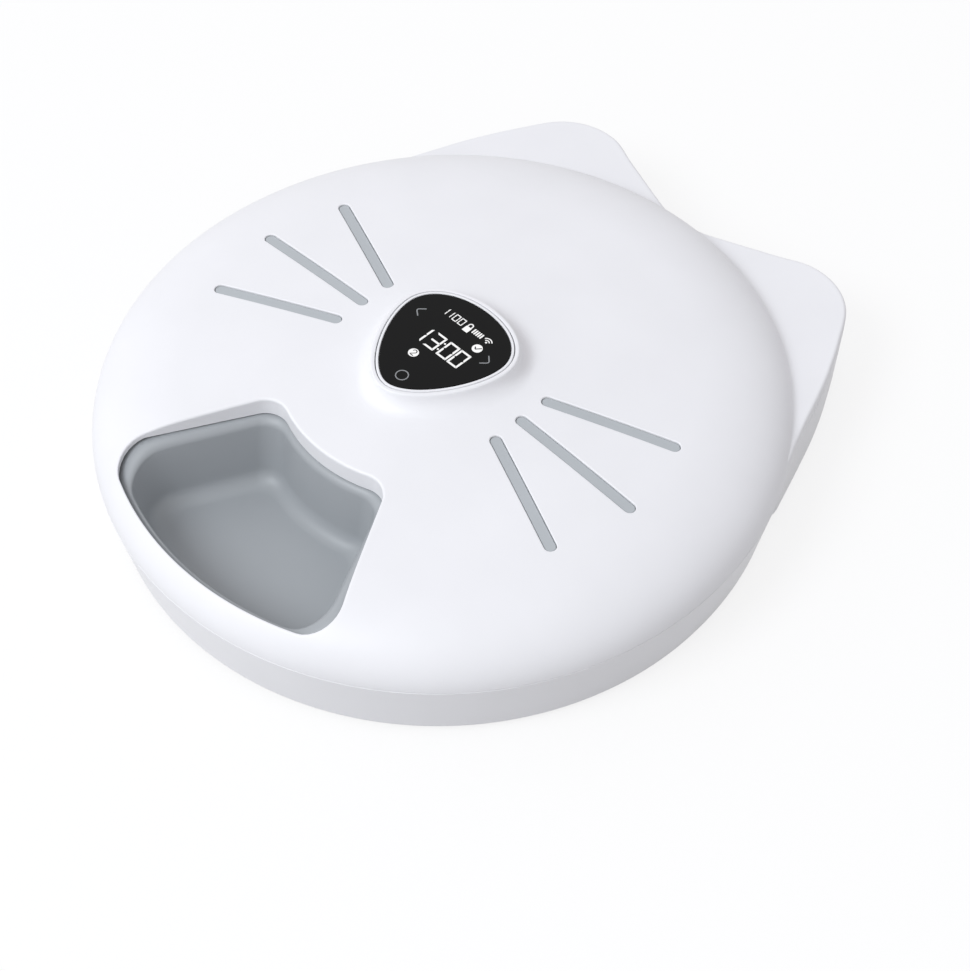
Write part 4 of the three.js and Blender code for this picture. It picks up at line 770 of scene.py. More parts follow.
# %% [markdown]
# Below, the pan carries the battery bay with room for the door's hinge, shallow seats for
# the four feet, and sunk holes for the six screws. Its back has a slot for the inlet and
# a round hole for the button. Each is cut by a plain solid that stands in its place.

# %% Places on a circle, and rods that lie along Y
FEET_CIRCLE, SCREW_CIRCLE = 131, 51.6
BACK_NEAR, BACK_FAR = 148, 170


def on_circle(radius, degrees):
    """Places on a circle round the axis, given by their turns."""
    turned_by = [math.radians(a) for a in degrees]
    return [(radius * math.cos(t), radius * math.sin(t)) for t in turned_by]


def pill(half_width, half_height, x, z, steps=12):
    """A rod with a slot-shaped section that lies along Y through the pan's back."""
    t = np.linspace(-math.pi / 2, math.pi / 2, steps)
    run = half_width - half_height
    right = np.column_stack([run + half_height * np.cos(t), half_height * np.sin(t)])
    outline = np.vstack([right, -right])
    return loft([
        np.column_stack([outline[:, 0] + x, np.full(len(outline), y), outline[:, 1] + z])
        for y in (BACK_NEAR, BACK_FAR)
    ])


feet = on_circle(FEET_CIRCLE, (-125, -55, 40, 140))
screw_places = on_circle(SCREW_CIRCLE, (45, 135, 225, 315)) + ear_posts
print("feet:", len(feet), "screws under the pan:", len(screw_places))

# %% Battery bay, seats, holes, inlet and button
BAY_X, BAY_Y, BAY_HIGH = 29.9, 26.65, 19.4
BAY_WALL = 1.6
BAY_SKIRT_LOW = 2.4
HINGE_Y = -32.65
HINGE_ROOM = 2.2
HINGE_HIGH = PAN_FLOOR + 3
BELOW = -1
FOOT_SEAT, FOOT_SEAT_HIGH = 9.3, 3
SCREW_SINK, SCREW_SINK_HIGH = 3.1, 3.8
SCREW_HOLE, SCREW_HOLE_HIGH = 1.7, 8
INLET_X, INLET_HALF_WIDTH, INLET_HALF_HEIGHT = -14, 4.8, 2
BUTTON_X, BUTTON_RADIUS = 14, 4.9
INLET_HEIGHT = 17

wide_x, wide_y = BAY_X + BAY_WALL, BAY_Y + BAY_WALL
bay = box(-wide_x, wide_x, -wide_y, wide_y, BAY_SKIRT_LOW, BAY_HIGH + BAY_WALL)
pan = cut_by(
    combine(pan, bay, "UNION"),
    box(-BAY_X, BAY_X, -BAY_Y, BAY_Y, BELOW, BAY_HIGH),
    box(-BAY_X, BAY_X, HINGE_Y - HINGE_ROOM, -BAY_Y + 1, BELOW, HINGE_HIGH),
)
for x, y in feet:
    pan = cut_by(pan, rod(FOOT_SEAT, BELOW, FOOT_SEAT_HIGH, x, y))
for x, y in screw_places:
    pan = cut_by(
        pan, rod(SCREW_SINK, BELOW, SCREW_SINK_HIGH, x, y),
        rod(SCREW_HOLE, BELOW, SCREW_HOLE_HIGH, x, y),
    )
pan = cut_by(
    pan, pill(INLET_HALF_WIDTH, INLET_HALF_HEIGHT, INLET_X, INLET_HEIGHT),
    pill(BUTTON_RADIUS, BUTTON_RADIUS, BUTTON_X, INLET_HEIGHT, 24),
)
show(pan, "base_cover", "base", "shell_white", ["base_pan"])

# %% [markdown]
# ## The food tray
#
# One grey moulding with six compartments, which lifts out for washing. Its top follows
# the inside of the dome, and a broad rolled rim leads into every compartment, which has
# drafted walls and a rounded bottom. The roll is narrower at the outer side, where only
# a thin land is left beside the tray's edge. Underneath, a collar turns round the tower
# and its notches sit on the drive lugs.

# %% Outlines of the tray and its compartments
TRAY_TOP = 55.2
TRAY_LOW = 20.3
TRAY_BORE = 66
TRAY_WALL = 2
TRAY_DEPTH = 4.4
TRAY_EDGE_LOW = 45
TRAY_STEPS = 360
POCKET = (74, 143.5, 26.2)
POCKET_CORNERS = (10.98, 15.985)
POCKET_FLOOR = 21
POCKET_ROUND = 8
POCKET_DRAFT = 2.6


def soft_min(a, b, blend):
    return -soft_max(-np.asarray(a, float), -np.asarray(b, float), blend)


def tray_height(points):
    """The tray's top: flat in the middle, below the dome's curve near the edge."""
    return soft_min(dome_height(points, TRAY_DEPTH, stretch=False), TRAY_TOP, 2)


def tray_line(depth, top):
    """The tray's top line at a depth below the dome's skin, from the collar to the edge."""
    curve = dome_at(depth)
    curve = curve[(curve[:, 1] > TRAY_EDGE_LOW) & (curve[:, 0] > TRAY_BORE + TRAY_WALL)][::3]
    return [(r, float(soft_min(z, top, 2))) for r, z in curve]


def pocket(inset):
    return sector(*POCKET, *POCKET_CORNERS, inset, arc=30, corner=14)


def turned(points, angle):
    """Points of a plan or an outline, turned about the axis by degrees."""
    points = np.array(points, float)
    turn = np.radians(angle)
    spin = np.array([[math.cos(turn), -math.sin(turn)], [math.sin(turn), math.cos(turn)]])
    points[:, :2] = points[:, :2] @ spin.T
    return points


def all_round(stack):
    """A stack of outlines repeated for each of the six compartments."""
    return [[turned(level, angle) for level in stack] for angle in range(0, 360, 60)]


top_line = tray_line(TRAY_DEPTH, TRAY_TOP)
under_line = tray_line(TRAY_DEPTH + TRAY_WALL, TRAY_TOP - TRAY_WALL)
tray_radius = top_line[-1][0]
print("tray:", round(2 * tray_radius, 1), "mm across")

# %% [markdown]
# The tray starts as a spun skin: collar, top, and an edge that turns down. Six shells are
# joined under it, each a compartment grown by the wall, and kept below the tray's top.
# At last the six hollows and the three notches are cut.

# %% Skin of the tray
LIP_BOTTOM = 42
LIP_ROUND = 0.4
BORE_EDGE = 0.8
collar, lip_in = TRAY_BORE + TRAY_WALL, tray_radius - TRAY_WALL
skin = [(TRAY_BORE, TRAY_LOW), (collar, TRAY_LOW), (collar, TRAY_TOP - TRAY_WALL)]
skin += under_line[4:]
skin += [(lip_in, LIP_BOTTOM + 0.5), (lip_in + LIP_ROUND, LIP_BOTTOM)]
skin += [(tray_radius - LIP_ROUND, LIP_BOTTOM), (tray_radius, LIP_BOTTOM + LIP_ROUND)]
skin += top_line[::-1]
skin += [(TRAY_BORE + inward, TRAY_TOP - up) for inward, up in quarter_round(BORE_EDGE, 4)]
tray = spun(same_all_round(skin, TRAY_STEPS), stretch=False)
print("tray skin:", len(skin), "points in its section")

# %% Compartments and notches
RIM_ROUND = 4.2
RIM_LAND = 0.9
RIM_LEAST_SHARE = 0.45
CROWN_LOW = 10
NOTCH = (TRAY_BORE - 2.6, TRAY_BORE + 5.2, -4.4, 4.4, 20, 24.4)
shell = [
    flat_outline(pocket(POCKET_DRAFT + inward - TRAY_WALL), POCKET_FLOOR - TRAY_WALL + up)
    for inward, up in quarter_round(POCKET_ROUND, 6)
]
shell.append(flat_outline(pocket(-TRAY_WALL), TRAY_TOP))
crown = [(0, CROWN_LOW), (tray_radius - 1, CROWN_LOW)]
crown += [(r, z - 1) for r, z in top_line[::-1]] + [(0, TRAY_TOP - 1)]
crown = spun(same_all_round(crown, TRAY_STEPS), stretch=False)
tray = combine(tray, combine(loft(*all_round(shell)), crown, "INTERSECT"), "UNION")
hollow = [
    flat_outline(pocket(POCKET_DRAFT + inward), POCKET_FLOOR + up)
    for inward, up in quarter_round(POCKET_ROUND, 10)
]
plain, rolled = pocket(0), pocket(-RIM_ROUND)
room = tray_radius - RIM_LAND - np.hypot(plain[:, 0], plain[:, 1])
share = np.clip(room / RIM_ROUND, RIM_LEAST_SHARE, 1)[:, None]
for inward, up in quarter_round(1, 10):
    plan = plain + (rolled - plain) * share * up
    hollow.append(flat_outline(plan, tray_height(plan) - RIM_ROUND * share[:, 0] * inward))
widest = plain + (rolled - plain) * share * 1.01
hollow += [flat_outline(widest, tray_height(widest) + CLEAR), flat_outline(widest, DOME_TOP)]
tray = cut_by(tray, loft(*all_round(hollow)))
for angle in (30, 150, 270):
    notch = box(*NOTCH)
    notch.transform(Matrix.Rotation(math.radians(angle), 4, "Z"))
    tray = cut_by(tray, notch)
show(tray, "meal_tray", "tray", "tray_grey", ["food_tray"], sharp=40)

# %% [markdown]
# ## The console
#
# A white cup shaped like a cat's nose stands on the tower and carries a black touch
# glass. A hairline gap parts it from the lid's neck, so that the lid lifts off round it.
# The glass lies a trace lower than the cup's edge, and its rim is broken by a fine
# bevel.

# %% Console cup and glass
CUP_GROW = 1.5
CUP_LOW = 58.3
CUP_EDGE = 0.45
SEAT_GROW = 0.3
SEAT_EDGE = 0.2
WELL_GROW = -1.4
WELL_LOW = 60.3
BOSS_X, BOSS_Y, BOSS_RADIUS = 15, 6, 3.2
BOSS_HOLE, BOSS_HOLE_DEEP = 1.25, 7
RIBBON_SLOT = (-7, 7, 17.4, 20.6)
GLASS_LOW = 74.1
GLASS_EDGE = 0.25
GLASS_SUNK = 0.05


def nose_loft(levels):
    """A solid of the console's outline, grown by an amount at each height."""
    return loft([flat_outline(nose(grow, 90), z) for grow, z in levels])


cup = [(CUP_GROW - inward, CUP_LOW + up) for inward, up in quarter_round(CUP_EDGE, 6)]
cup += [
    (CUP_GROW - inward, GLASS_TOP - up) for inward, up in quarter_round(CUP_EDGE, 6)[::-1]
]
seat = [(SEAT_GROW, GLASS_LOW - 0.3), (SEAT_GROW, GLASS_TOP - SEAT_EDGE)]
seat += [(SEAT_GROW + SEAT_EDGE, GLASS_TOP), (SEAT_GROW + SEAT_EDGE, GLASS_TOP + 2)]
cup = cut_by(
    nose_loft(cup), nose_loft(seat), nose_loft([(WELL_GROW, WELL_LOW), (WELL_GROW, GLASS_TOP)]),
    box(*RIBBON_SLOT, CUP_LOW - 1, WELL_LOW + 1),
)
board_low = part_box("display_board")[0][2] * 1000
for x in (BOSS_X, -BOSS_X):
    cup = combine(cup, rod(BOSS_RADIUS, WELL_LOW - 1, board_low - 0.3, x, BOSS_Y), "UNION")
    cup = cut_by(cup, rod(BOSS_HOLE, CUP_LOW - 1, CUP_LOW + BOSS_HOLE_DEEP, x, BOSS_Y))
show(cup, "console_cup", "base", "shell_white", ["console_housing"])
glass = [(0, GLASS_LOW)]
glass += [
    (-up, GLASS_TOP - GLASS_SUNK - inward) for inward, up in quarter_round(GLASS_EDGE, 5)
]
show(nose_loft(glass), "touch_glass", "base", "display_black", ["display_glass"])

# %% [markdown]
# The signs of the display shine through the glass: the time of day in seven-bar
# figures, the time of the next meal above it, a lock, a charge bar, radio arcs, the
# number of the meal and a tick in bright discs. Arrows and a ring are printed in grey for
# the touch fields. Each is a thin layer of ink or light, drawn as a flat form and laid on
# the glass. The figures have mitred bars, and the lines have the round ends of a pen.

# %% Lines drawn with a pen
def arc_line(x, y, radius, start, end, steps=20):
    t = np.radians(np.linspace(start, end, steps))
    return np.column_stack([x + radius * np.cos(t), y + radius * np.sin(t)])


def bent(points, corner):
    """A line through points whose corners are rounded."""
    points = np.array(points, float)
    line = [points[:1]]
    for a, b, c in zip(points, points[1:], points[2:]):
        p = b + (a - b) / np.linalg.norm(a - b) * corner
        q = b + (c - b) / np.linalg.norm(c - b) * corner
        t = np.linspace(0, 1, 7)[:, None]
        line.append(p * (1 - t) ** 2 + 2 * b * t * (1 - t) + q * t ** 2)
    return np.vstack(line + [points[-1:]])


def stroke(points, width):
    """The outline of a line drawn with a round pen."""
    points = np.array(points, float)
    along = np.gradient(points, axis=0)
    half_turn = np.linspace(-math.pi / 2, math.pi / 2, 8)
    outline = []
    for end, heading, side in (
        (points[-1], along[-1], points), (points[0], -along[0], points[::-1]),
    ):
        turn = math.atan2(heading[1], heading[0]) + half_turn
        outline.append(end + width / 2 * np.column_stack([np.cos(turn), np.sin(turn)]))
        outline.append(beside(side[::-1], width / 2)[1:-1])
    return np.vstack(outline)


print("a stroke of 3 mm:", len(stroke([(0, 0), (1.5, 0), (3, 0)], 0.5)), "points")

# %% Seven-bar figures
# The bars that each figure lights: a on top, b and c at the right, d below, e and f at
# the left, g in the middle
BARS = {"0": "abcdef", "1": "bc", "3": "abgcd"}
BAR_GAP_SHARE = 0.12


def figure(sign, x, y, wide, high, thick):
    """The bars of one figure, centred on a point, with mitred corners."""
    w, h, k, gap = wide / 2, high / 2, thick / 2, BAR_GAP_SHARE * thick
    top = [
        (-w - k + gap, h + k), (w + k - gap, h + k), (w - k - gap, h - k), (k + gap - w, h - k),
    ]
    side = [(w + k, h + k - gap), (w - k, h - k - gap), (w - k, k + gap), (w, gap), (w + k, gap)]
    middle = [(gap - w, 0), (k - w, k), (w - k, k), (w - gap, 0), (w - k, -k), (k - w, -k)]
    forms = {
        "a": (top, 1, 1), "b": (side, 1, 1), "c": (side, 1, -1), "d": (top, 1, -1),
        "e": (side, -1, -1), "f": (side, -1, 1), "g": (middle, 1, 1),
    }
    return [np.array(forms[name][0]) * forms[name][1:] + (x, y) for name in BARS[sign]]


def figures(row, y, high, thick):
    """A row of figures, each given as its sign, its place and its width."""
    return [bar for sign, x, wide in row for bar in figure(sign, x, y, wide, high, thick)]


print("bars of the figures:", {sign: len(bars) for sign, bars in BARS.items()})

# %% Layers of ink or light
INK_THICK = 0.06


def layer(outlines, name, cut=()):
    """A thin layer on the glass through outlines, with others cut out of it."""
    low, high = GLASS_TOP - INK_THICK, GLASS_TOP
    mesh = loft(*[[flat_outline(line, low), flat_outline(line, high)] for line in outlines])
    if cut:
        mesh = cut_by(mesh, loft(*[
            [flat_outline(line, low - 1), flat_outline(line, high + 1)] for line in cut
        ]))
    show(mesh, name, "base", "display_black")


print("each layer is", INK_THICK, "mm thick")

# %% [markdown]
# The signs stand in three places: the time in the middle, with a row of small signs
# behind it, the tick and the number of the meal in their own discs, and the arrows and
# the ring near the edge, where the finger touches. All places are in millimetres from
# the tray's axis, with x to the right and y to the back.

# %% The time of day
MIDDLE_Y = -0.1
BIG_WIDE, BIG_HIGH, BIG_LINE = 5.1, 8.7, 0.95
COLON_X, COLON_DOT = 1.35, 0.48
clock = figures(
    [("1", -8.2, 0), ("3", -2.7, BIG_WIDE), ("0", 5.3, BIG_WIDE), ("0", 12, BIG_WIDE)],
    MIDDLE_Y, BIG_HIGH, BIG_LINE,
)
clock += [ring(COLON_DOT, COLON_X, y, 16) for y in (1.9, -2.4)]
layer(clock, "lit_time")

# %% The row of small signs
TOP_Y = 16.3
SMALL_WIDE, SMALL_HIGH, SMALL_LINE = 2.2, 3.7, 0.45
ARC_X, ARC_Y = 13.3, 14.9
LIT_LINE = 0.5
PRINT_LINE = 0.55
next_meal = figures(
    [("1", -11.8, 0), ("1", -9, 0), ("0", -6.3, SMALL_WIDE), ("0", -2.9, SMALL_WIDE)],
    TOP_Y, SMALL_HIGH, SMALL_LINE,
)
lock = [(0.1, 14.8), (0.1, 13.2), (3.2, 13.2), (3.2, 16.4), (0.1, 16.4), (0.1, 14.8)]
lock = bent(lock, 0.3)[:-1]
shackle = np.vstack([[(2.7, 16.3)], arc_line(1.65, 17.4, 1.05, 0, 180), [(0.6, 16.3)]])
charge = [stroke([(x, 17.3), (x, 16.2), (x, 15.1)], 0.75) for x in np.linspace(4.7, 9.5, 5)]
arcs = [stroke(arc_line(ARC_X, ARC_Y, r, 42, 138), LIT_LINE) for r in (1.5, 2.7)]
arcs += [ring(0.5, ARC_X, ARC_Y + 0.2, 16)]
layer(next_meal + [lock, stroke(shackle, PRINT_LINE)] + charge + arcs, "lit_symbols")

# %% Discs with the tick and the number of the meal, arrows and ring
TICK_DISC = (2.4, 13.1, 9.9)
MEAL_DISC = (2.4, -4.6, -11.3)
TOUCH_RING = (1.5, -23.9)
tick = stroke(bent([(11.9, 10), (12.7, 9), (14.5, 11.1)], 0.3), 0.6)
meal_number = stroke(np.vstack([
    arc_line(-4.6, -10.5, 0.95, 170, -20), [(-4.7, -11.9)],
    [(-5.55, -12.75), (-4.9, -12.75), (-3.6, -12.75)],
]), LIT_LINE)
discs = [ring(*TICK_DISC, 40), ring(*MEAL_DISC, 40)]
layer(discs, "lit_discs", cut=[tick, meal_number])
back_arrow = bent([(-19.7, 10.7), (-22.7, 7.8), (-19.5, 5.4)], 1.4)
next_arrow = bent([(19.9, 10.2), (22.9, 7.5), (20, 4.7)], 1.4)
layer([stroke(back_arrow, PRINT_LINE), stroke(next_arrow, PRINT_LINE)], "printed_arrows")
layer([ring(3, *TOUCH_RING, 64)], "printed_ring", cut=[ring(2.5, *TOUCH_RING, 64)])

# %% [markdown]
# ## The smaller parts
#
# The parts inside and below are plain mouldings, boards and turned pieces. Their sizes
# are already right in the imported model, so each is a merged copy of its node whose sharp
# edges get the small radius that a mould, a cutter or a press leaves.

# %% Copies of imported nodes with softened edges
record = frame["record"]
slot_of = {part["node"]: part["material_slot"] for part in record["subparts"]}
body_of = {
    node: body for body, held in record["behaviour"]["bodies"].items() for node in held
}
home = to_place.inverted()
SHARP_ANGLE = math.radians(40)
FLAT_ANGLE = math.radians(0.8)
WELD = 0.002


def merged(node):
    """A node's mesh in millimetres round the axis, welded, with its flat faces whole."""
    bm = bmesh.new()
    bm.from_mesh(nodes[node].data)
    bmesh.ops.transform(bm, matrix=home @ nodes[node].matrix_world, verts=bm.verts)
    bmesh.ops.remove_doubles(bm, verts=bm.verts, dist=WELD)
    bmesh.ops.dissolve_limit(
        bm, angle_limit=FLAT_ANGLE, verts=bm.verts, edges=bm.edges, delimit={"NORMAL"},
    )
    return bm


def soften(bm, edge):
    """Rounds the sharp edges, all by one width."""
    sharp = [e for e in bm.edges if e.is_manifold and e.calc_face_angle(0) > SHARP_ANGLE]
    bmesh.ops.bevel(
        bm, geom=sharp, offset=edge, offset_type="OFFSET", affect="EDGES", segments=2,
        profile=0.5, clamp_overlap=True, material=-1, loop_slide=True,
    )
    return bm


# How wide the edges of each node are rounded, in millimetres
SOFTENED = {
    "chassis": 0.4, "turntable": 0.12, "drive_pinion": 0.12, "gear_motor": 0.4,
    "index_magnet": 0.15, "index_sensor": 0.15, "lid_magnet_right": 0.2, "lid_magnet_left": 0.2,
    "base_magnet_right": 0.2, "base_magnet_left": 0.2, "display_board": 0.1,
    "display_module": 0.2, "display_ribbon": 0.05, "main_board": 0.1, "radio_module": 0.2,
    "buzzer": 0.4, "battery_contact_back": 0.1, "battery_contact_front": 0.1,
    "inlet_board": 0.1, "usb_socket": 0.12, "key_switch": 0.2, "power_lead": 0.1, "rim_seal": 0.5,
    "ice_pack_right": 1, "ice_pack_left": 1, "roller_axle_1": 0.15, "roller_axle_2": 0.15,
    "roller_axle_3": 0.15, "support_roller_1": 0.3, "support_roller_2": 0.3,
    "support_roller_3": 0.3, "battery_door": 0.25, "power_button": 0.5,
}
for node, edge in SOFTENED.items():
    mesh = mesh_of(soften(merged(node), edge))
    show(mesh, f"{node}_formed", body_of[node], slot_of[node], [node], sharp=35)

# %% [markdown]
# Feet, screws and cells are turned about their own axes. A foot is a rubber pad with a
# dished face, a screw has a domed head with a cross recess, and a cell has a wrap that
# folds over its two ends round a plain metal button.

# %% A lathe, and the feet
def lathe(profile, x=0, y=0, steps=48):
    """A round solid from (radius, height) points that start and end on its axis."""
    bm = bmesh.new()
    line = [bm.verts.new((max(r, 0), 0, z)) for r, z in profile]
    edges = [bm.edges.new(pair) for pair in zip(line, line[1:])]
    bmesh.ops.spin(
        bm, geom=line + edges, cent=(0, 0, 0), axis=(0, 0, 1), angle=2 * math.pi, steps=steps,
        use_merge=True,
    )
    mesh = mesh_of(bm)
    mesh.transform(Matrix.Translation((x, y, 0)))
    return mesh


def arc_points(centre, radius, start, end):
    """Points of an arc in a section, its turns in degrees from the radius axis."""
    return [tuple(point) for point in arc_line(*centre, radius, start, end, 6)]


foot_profile = [(0, 0.5), (5.4, 0.5), (5.9, 0.4), (6.4, 0.05), (7.9, 0)]
foot_profile += arc_points((8.2, 0.8), 0.8, -90, 0) + [(9, 2.4), (8.7, 2.7), (0, 2.7)]
for i, (x, y) in enumerate(feet, 1):
    show(lathe(foot_profile, x, y), f"rubber_foot_{i}", "base", "foot_rubber", [f"foot_{i}"])


# %% Screws
TIP_SHARE, TIP_HIGH = 0.6, 0.5
THREAD_START, THREAD_STOP = 0.9, 0.3
THREAD_PITCH = 0.5
THREAD_DEEP_SHARE = 0.86
HEAD_SHARE = 0.3
HEAD_HIGH = 1.8
HEAD_EDGE = 0.15
DOME_SHARE = 0.6
RECESS_SHARE = 0.52
RECESS_HALF = 0.32


def box_mm(node):
    """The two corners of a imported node's box, in millimetres."""
    return [np.array(corner) * 1000 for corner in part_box(node)]


def screw(node):
    """A pan-head screw in the place and of the size of a packed one."""
    low, high = box_mm(node)
    radius, x = (high[0] - low[0]) / 2, (high[0] + low[0]) / 2
    y = (high[1] + low[1]) / 2 - axis_y * 1000
    bm = merged(node)
    ends = [
        max((v.co.xy - Vector((x, y))).length for v in bm.verts if abs(v.co.z - end) < 0.01)
        for end in (low[2], high[2])
    ]
    bm.free()
    head_up = ends[1] > ends[0]
    shaft, length = min(ends), high[2] - low[2]
    head = min(length * HEAD_SHARE, HEAD_HIGH)
    under, dome_round = length - head, head * DOME_SHARE
    profile = [(0, 0), (shaft * TIP_SHARE, 0), (shaft, TIP_HIGH)]
    for k, z in enumerate(np.arange(THREAD_START, under - THREAD_STOP, THREAD_PITCH)):
        profile.append((shaft if k % 2 else shaft * THREAD_DEEP_SHARE, z))
    profile += [(shaft, under), (radius - HEAD_EDGE, under), (radius, under + HEAD_EDGE)]
    profile += arc_points((radius - dome_round, length - dome_round), dome_round, 0, 90)
    mesh = lathe(profile + [(0, length)], steps=32)
    arm = radius * RECESS_SHARE
    for angle in (0, 90):
        blade = box(-arm, arm, -RECESS_HALF, RECESS_HALF, length - dome_round, length + 1)
        blade.transform(Matrix.Rotation(math.radians(angle), 4, "Z"))
        mesh = cut_by(mesh, blade)
    turn = Matrix() if head_up else Matrix.Rotation(math.pi, 4, "X")
    start = low[2] if head_up else high[2]
    mesh.transform(Matrix.Translation((x, y, start)) @ turn)
    show(mesh, f"{node}_turned", "base", "screw_steel", [node])


for node in nodes:
    if "screw" in node:
        screw(node)

# %% Cells
CELL_RADIUS = 7.1
CELL_LENGTH = 50.5
CELL_SHOULDER = 49
FOLD, FLAT_FOLD = 0.6, 0.5
POLE_RADIUS, POLE_EDGE, POLE_SEAT = 2.7, 0.3, 48.7
profile = [(0, 0), (2.6, 0), (3, 0.25), (4.6, 0.25), (4.6, 0.05)]
profile += arc_points((CELL_RADIUS - FOLD, FOLD), FOLD, -90, 0)
profile += arc_points((CELL_RADIUS - FLAT_FOLD, CELL_SHOULDER - FLAT_FOLD), FLAT_FOLD, 0, 90)
profile += [(4.8, CELL_SHOULDER), (4.6, POLE_SEAT), (POLE_RADIUS, POLE_SEAT)]
profile += [(POLE_RADIUS, CELL_LENGTH - POLE_EDGE)]
profile += arc_points((POLE_RADIUS - POLE_EDGE, CELL_LENGTH - POLE_EDGE), POLE_EDGE, 0, 90)
profile += [(0, CELL_LENGTH)]
for i in range(1, 5):
    low, high = box_mm(f"battery_cell_{i}")
    middle = (low + high) / 2
    sign = 1 if i % 2 else -1
    mesh = lathe(profile, steps=64)
    mesh.transform(
        Matrix.Translation((middle[0], -sign * CELL_LENGTH / 2, middle[2]))
        @ Matrix.Rotation(-sign * math.pi / 2, 4, "X")
    )
    show(mesh, f"cell_{i}", "base", "cell_wrap", [f"battery_cell_{i}"])

# %% [markdown]
# ## Finishes
#
# Each finish is a small network that works in real sizes: the fine grain that a mould
# leaves on satin plastic, the slow change of tone over a large moulding, the streaks of
# rolled steel. Colours are given as they look on a screen and turned into light once. One
# function adds any node, and its inputs take either a number or the link to another node.

# %% Colours as light, and nodes
def light(code):
    """A colour of six hexadecimal digits as linear light."""
    parts = [int(code[i:i + 2], 16) / 255 for i in (0, 2, 4)]
    return [p / 12.92 if p <= 0.04045 else ((p + 0.055) / 1.055) ** 2.4 for p in parts] + [1]


def add(where, kind, inputs=None, **settings):
    """Adds a shader node, sets its fields and sockets, and links its inputs."""
    made = where.node_tree.nodes.new(kind)
    for name, value in settings.items():
        if hasattr(made, name):
            setattr(made, name, value)
        else:
            made.inputs[name.replace("_", " ")].default_value = value
    for name, source in (inputs or {}).items():
        if isinstance(source, bpy.types.NodeSocket):
            where.node_tree.links.new(source, made.inputs[name])
        else:
            made.inputs[name].default_value = source
    return made


print("white as light:", light("FFFFFF"), "half grey as light:", np.round(light("808080"), 3))

# %% The ground of every finish
# Where a colour Mix node has its two colours and its result
FIRST_COLOUR, SECOND_COLOUR, MIXED = 6, 7, 2
SLOW_MM = 45


def grained(name, colour, roughness, grain_mm, grain_depth, mottle=0.03, **more):
    """A moulded material: a fine grain in its height and gloss, and a slow change of tone."""
    material = bpy.data.materials.new(name)
    material.use_nodes = True
    material.node_tree.nodes.clear()
    place = add(material, "ShaderNodeTexCoord").outputs["Object"]
    where = {"Vector": place}
    fine = add(material, "ShaderNodeTexNoise", where, Scale=1000 / grain_mm, Detail=2.0)
    slow = add(material, "ShaderNodeTexNoise", where, Scale=1000 / SLOW_MM, Detail=3.0)
    tone = add(
        material, "ShaderNodeMapRange", {"Value": slow.outputs["Fac"]},
        From_Min=0.3, From_Max=0.7, To_Min=1 - mottle, To_Max=1.0,
    )
    shade = add(
        material, "ShaderNodeMix",
        {0: tone.outputs["Result"], FIRST_COLOUR: (0, 0, 0, 1), SECOND_COLOUR: light(colour)},
        data_type="RGBA",
    )
    gloss = add(
        material, "ShaderNodeMapRange", {"Value": fine.outputs["Fac"]},
        From_Min=0.25, From_Max=0.75, To_Min=roughness * 0.92, To_Max=roughness * 1.08,
    )
    bump = add(
        material, "ShaderNodeBump", {"Height": fine.outputs["Fac"]},
        Strength=1.0, Distance=grain_depth / 1000,
    )
    surface = add(
        material, "ShaderNodeBsdfPrincipled",
        {"Base Color": shade.outputs[MIXED], "Roughness": gloss.outputs["Result"],
         "Normal": bump.outputs["Normal"]},
        **more,
    )
    add(material, "ShaderNodeOutputMaterial", {"Surface": surface.outputs["BSDF"]})
    return material


print("slow changes of tone are about", SLOW_MM, "mm long")

# %% Second colours over a finish
def surface_of(material):
    return next(node for node in material.node_tree.nodes if node.type == "BSDF_PRINCIPLED")


def overlaid(material, code, share):
    """Lays a second colour over a finish wherever the given value is high."""
    colour = surface_of(material).inputs["Base Color"]
    over = add(
        material, "ShaderNodeMix",
        {0: share, FIRST_COLOUR: colour.links[0].from_socket, SECOND_COLOUR: light(code)},
        data_type="RGBA",
    )
    material.node_tree.links.new(over.outputs[MIXED], colour)


def banded(material, code, period_mm, share, axis, middle_mm=0):
    """Bands of a second colour across one axis, at the top share of a wave's height."""
    place = add(material, "ShaderNodeTexCoord").outputs["Object"]
    # A wave node repeats every pi / 10 of its own units, and pi moves a crest to the start
    wave = add(
        material, "ShaderNodeTexWave", {"Vector": place}, bands_direction=axis,
        Scale=math.pi / 10 / (period_mm / 1000),
        Phase_Offset=math.pi - 2 * math.pi * middle_mm / period_mm,
    )
    edge = add(
        material, "ShaderNodeMath", {0: wave.outputs["Fac"], 1: 1 - share},
        operation="GREATER_THAN",
    )
    overlaid(material, code, edge.outputs[0])


print("bands follow the axes of the feeder, with x to the right and y to the back")

# %% [markdown]
# Most of the feeder is moulded plastic, and what tells one plastic from another is its
# gloss and its grain: the satin shell against the waxy tray, rubber against silicone.
# Metals reflect instead of having a colour of their own, so they get Metallic at 1.

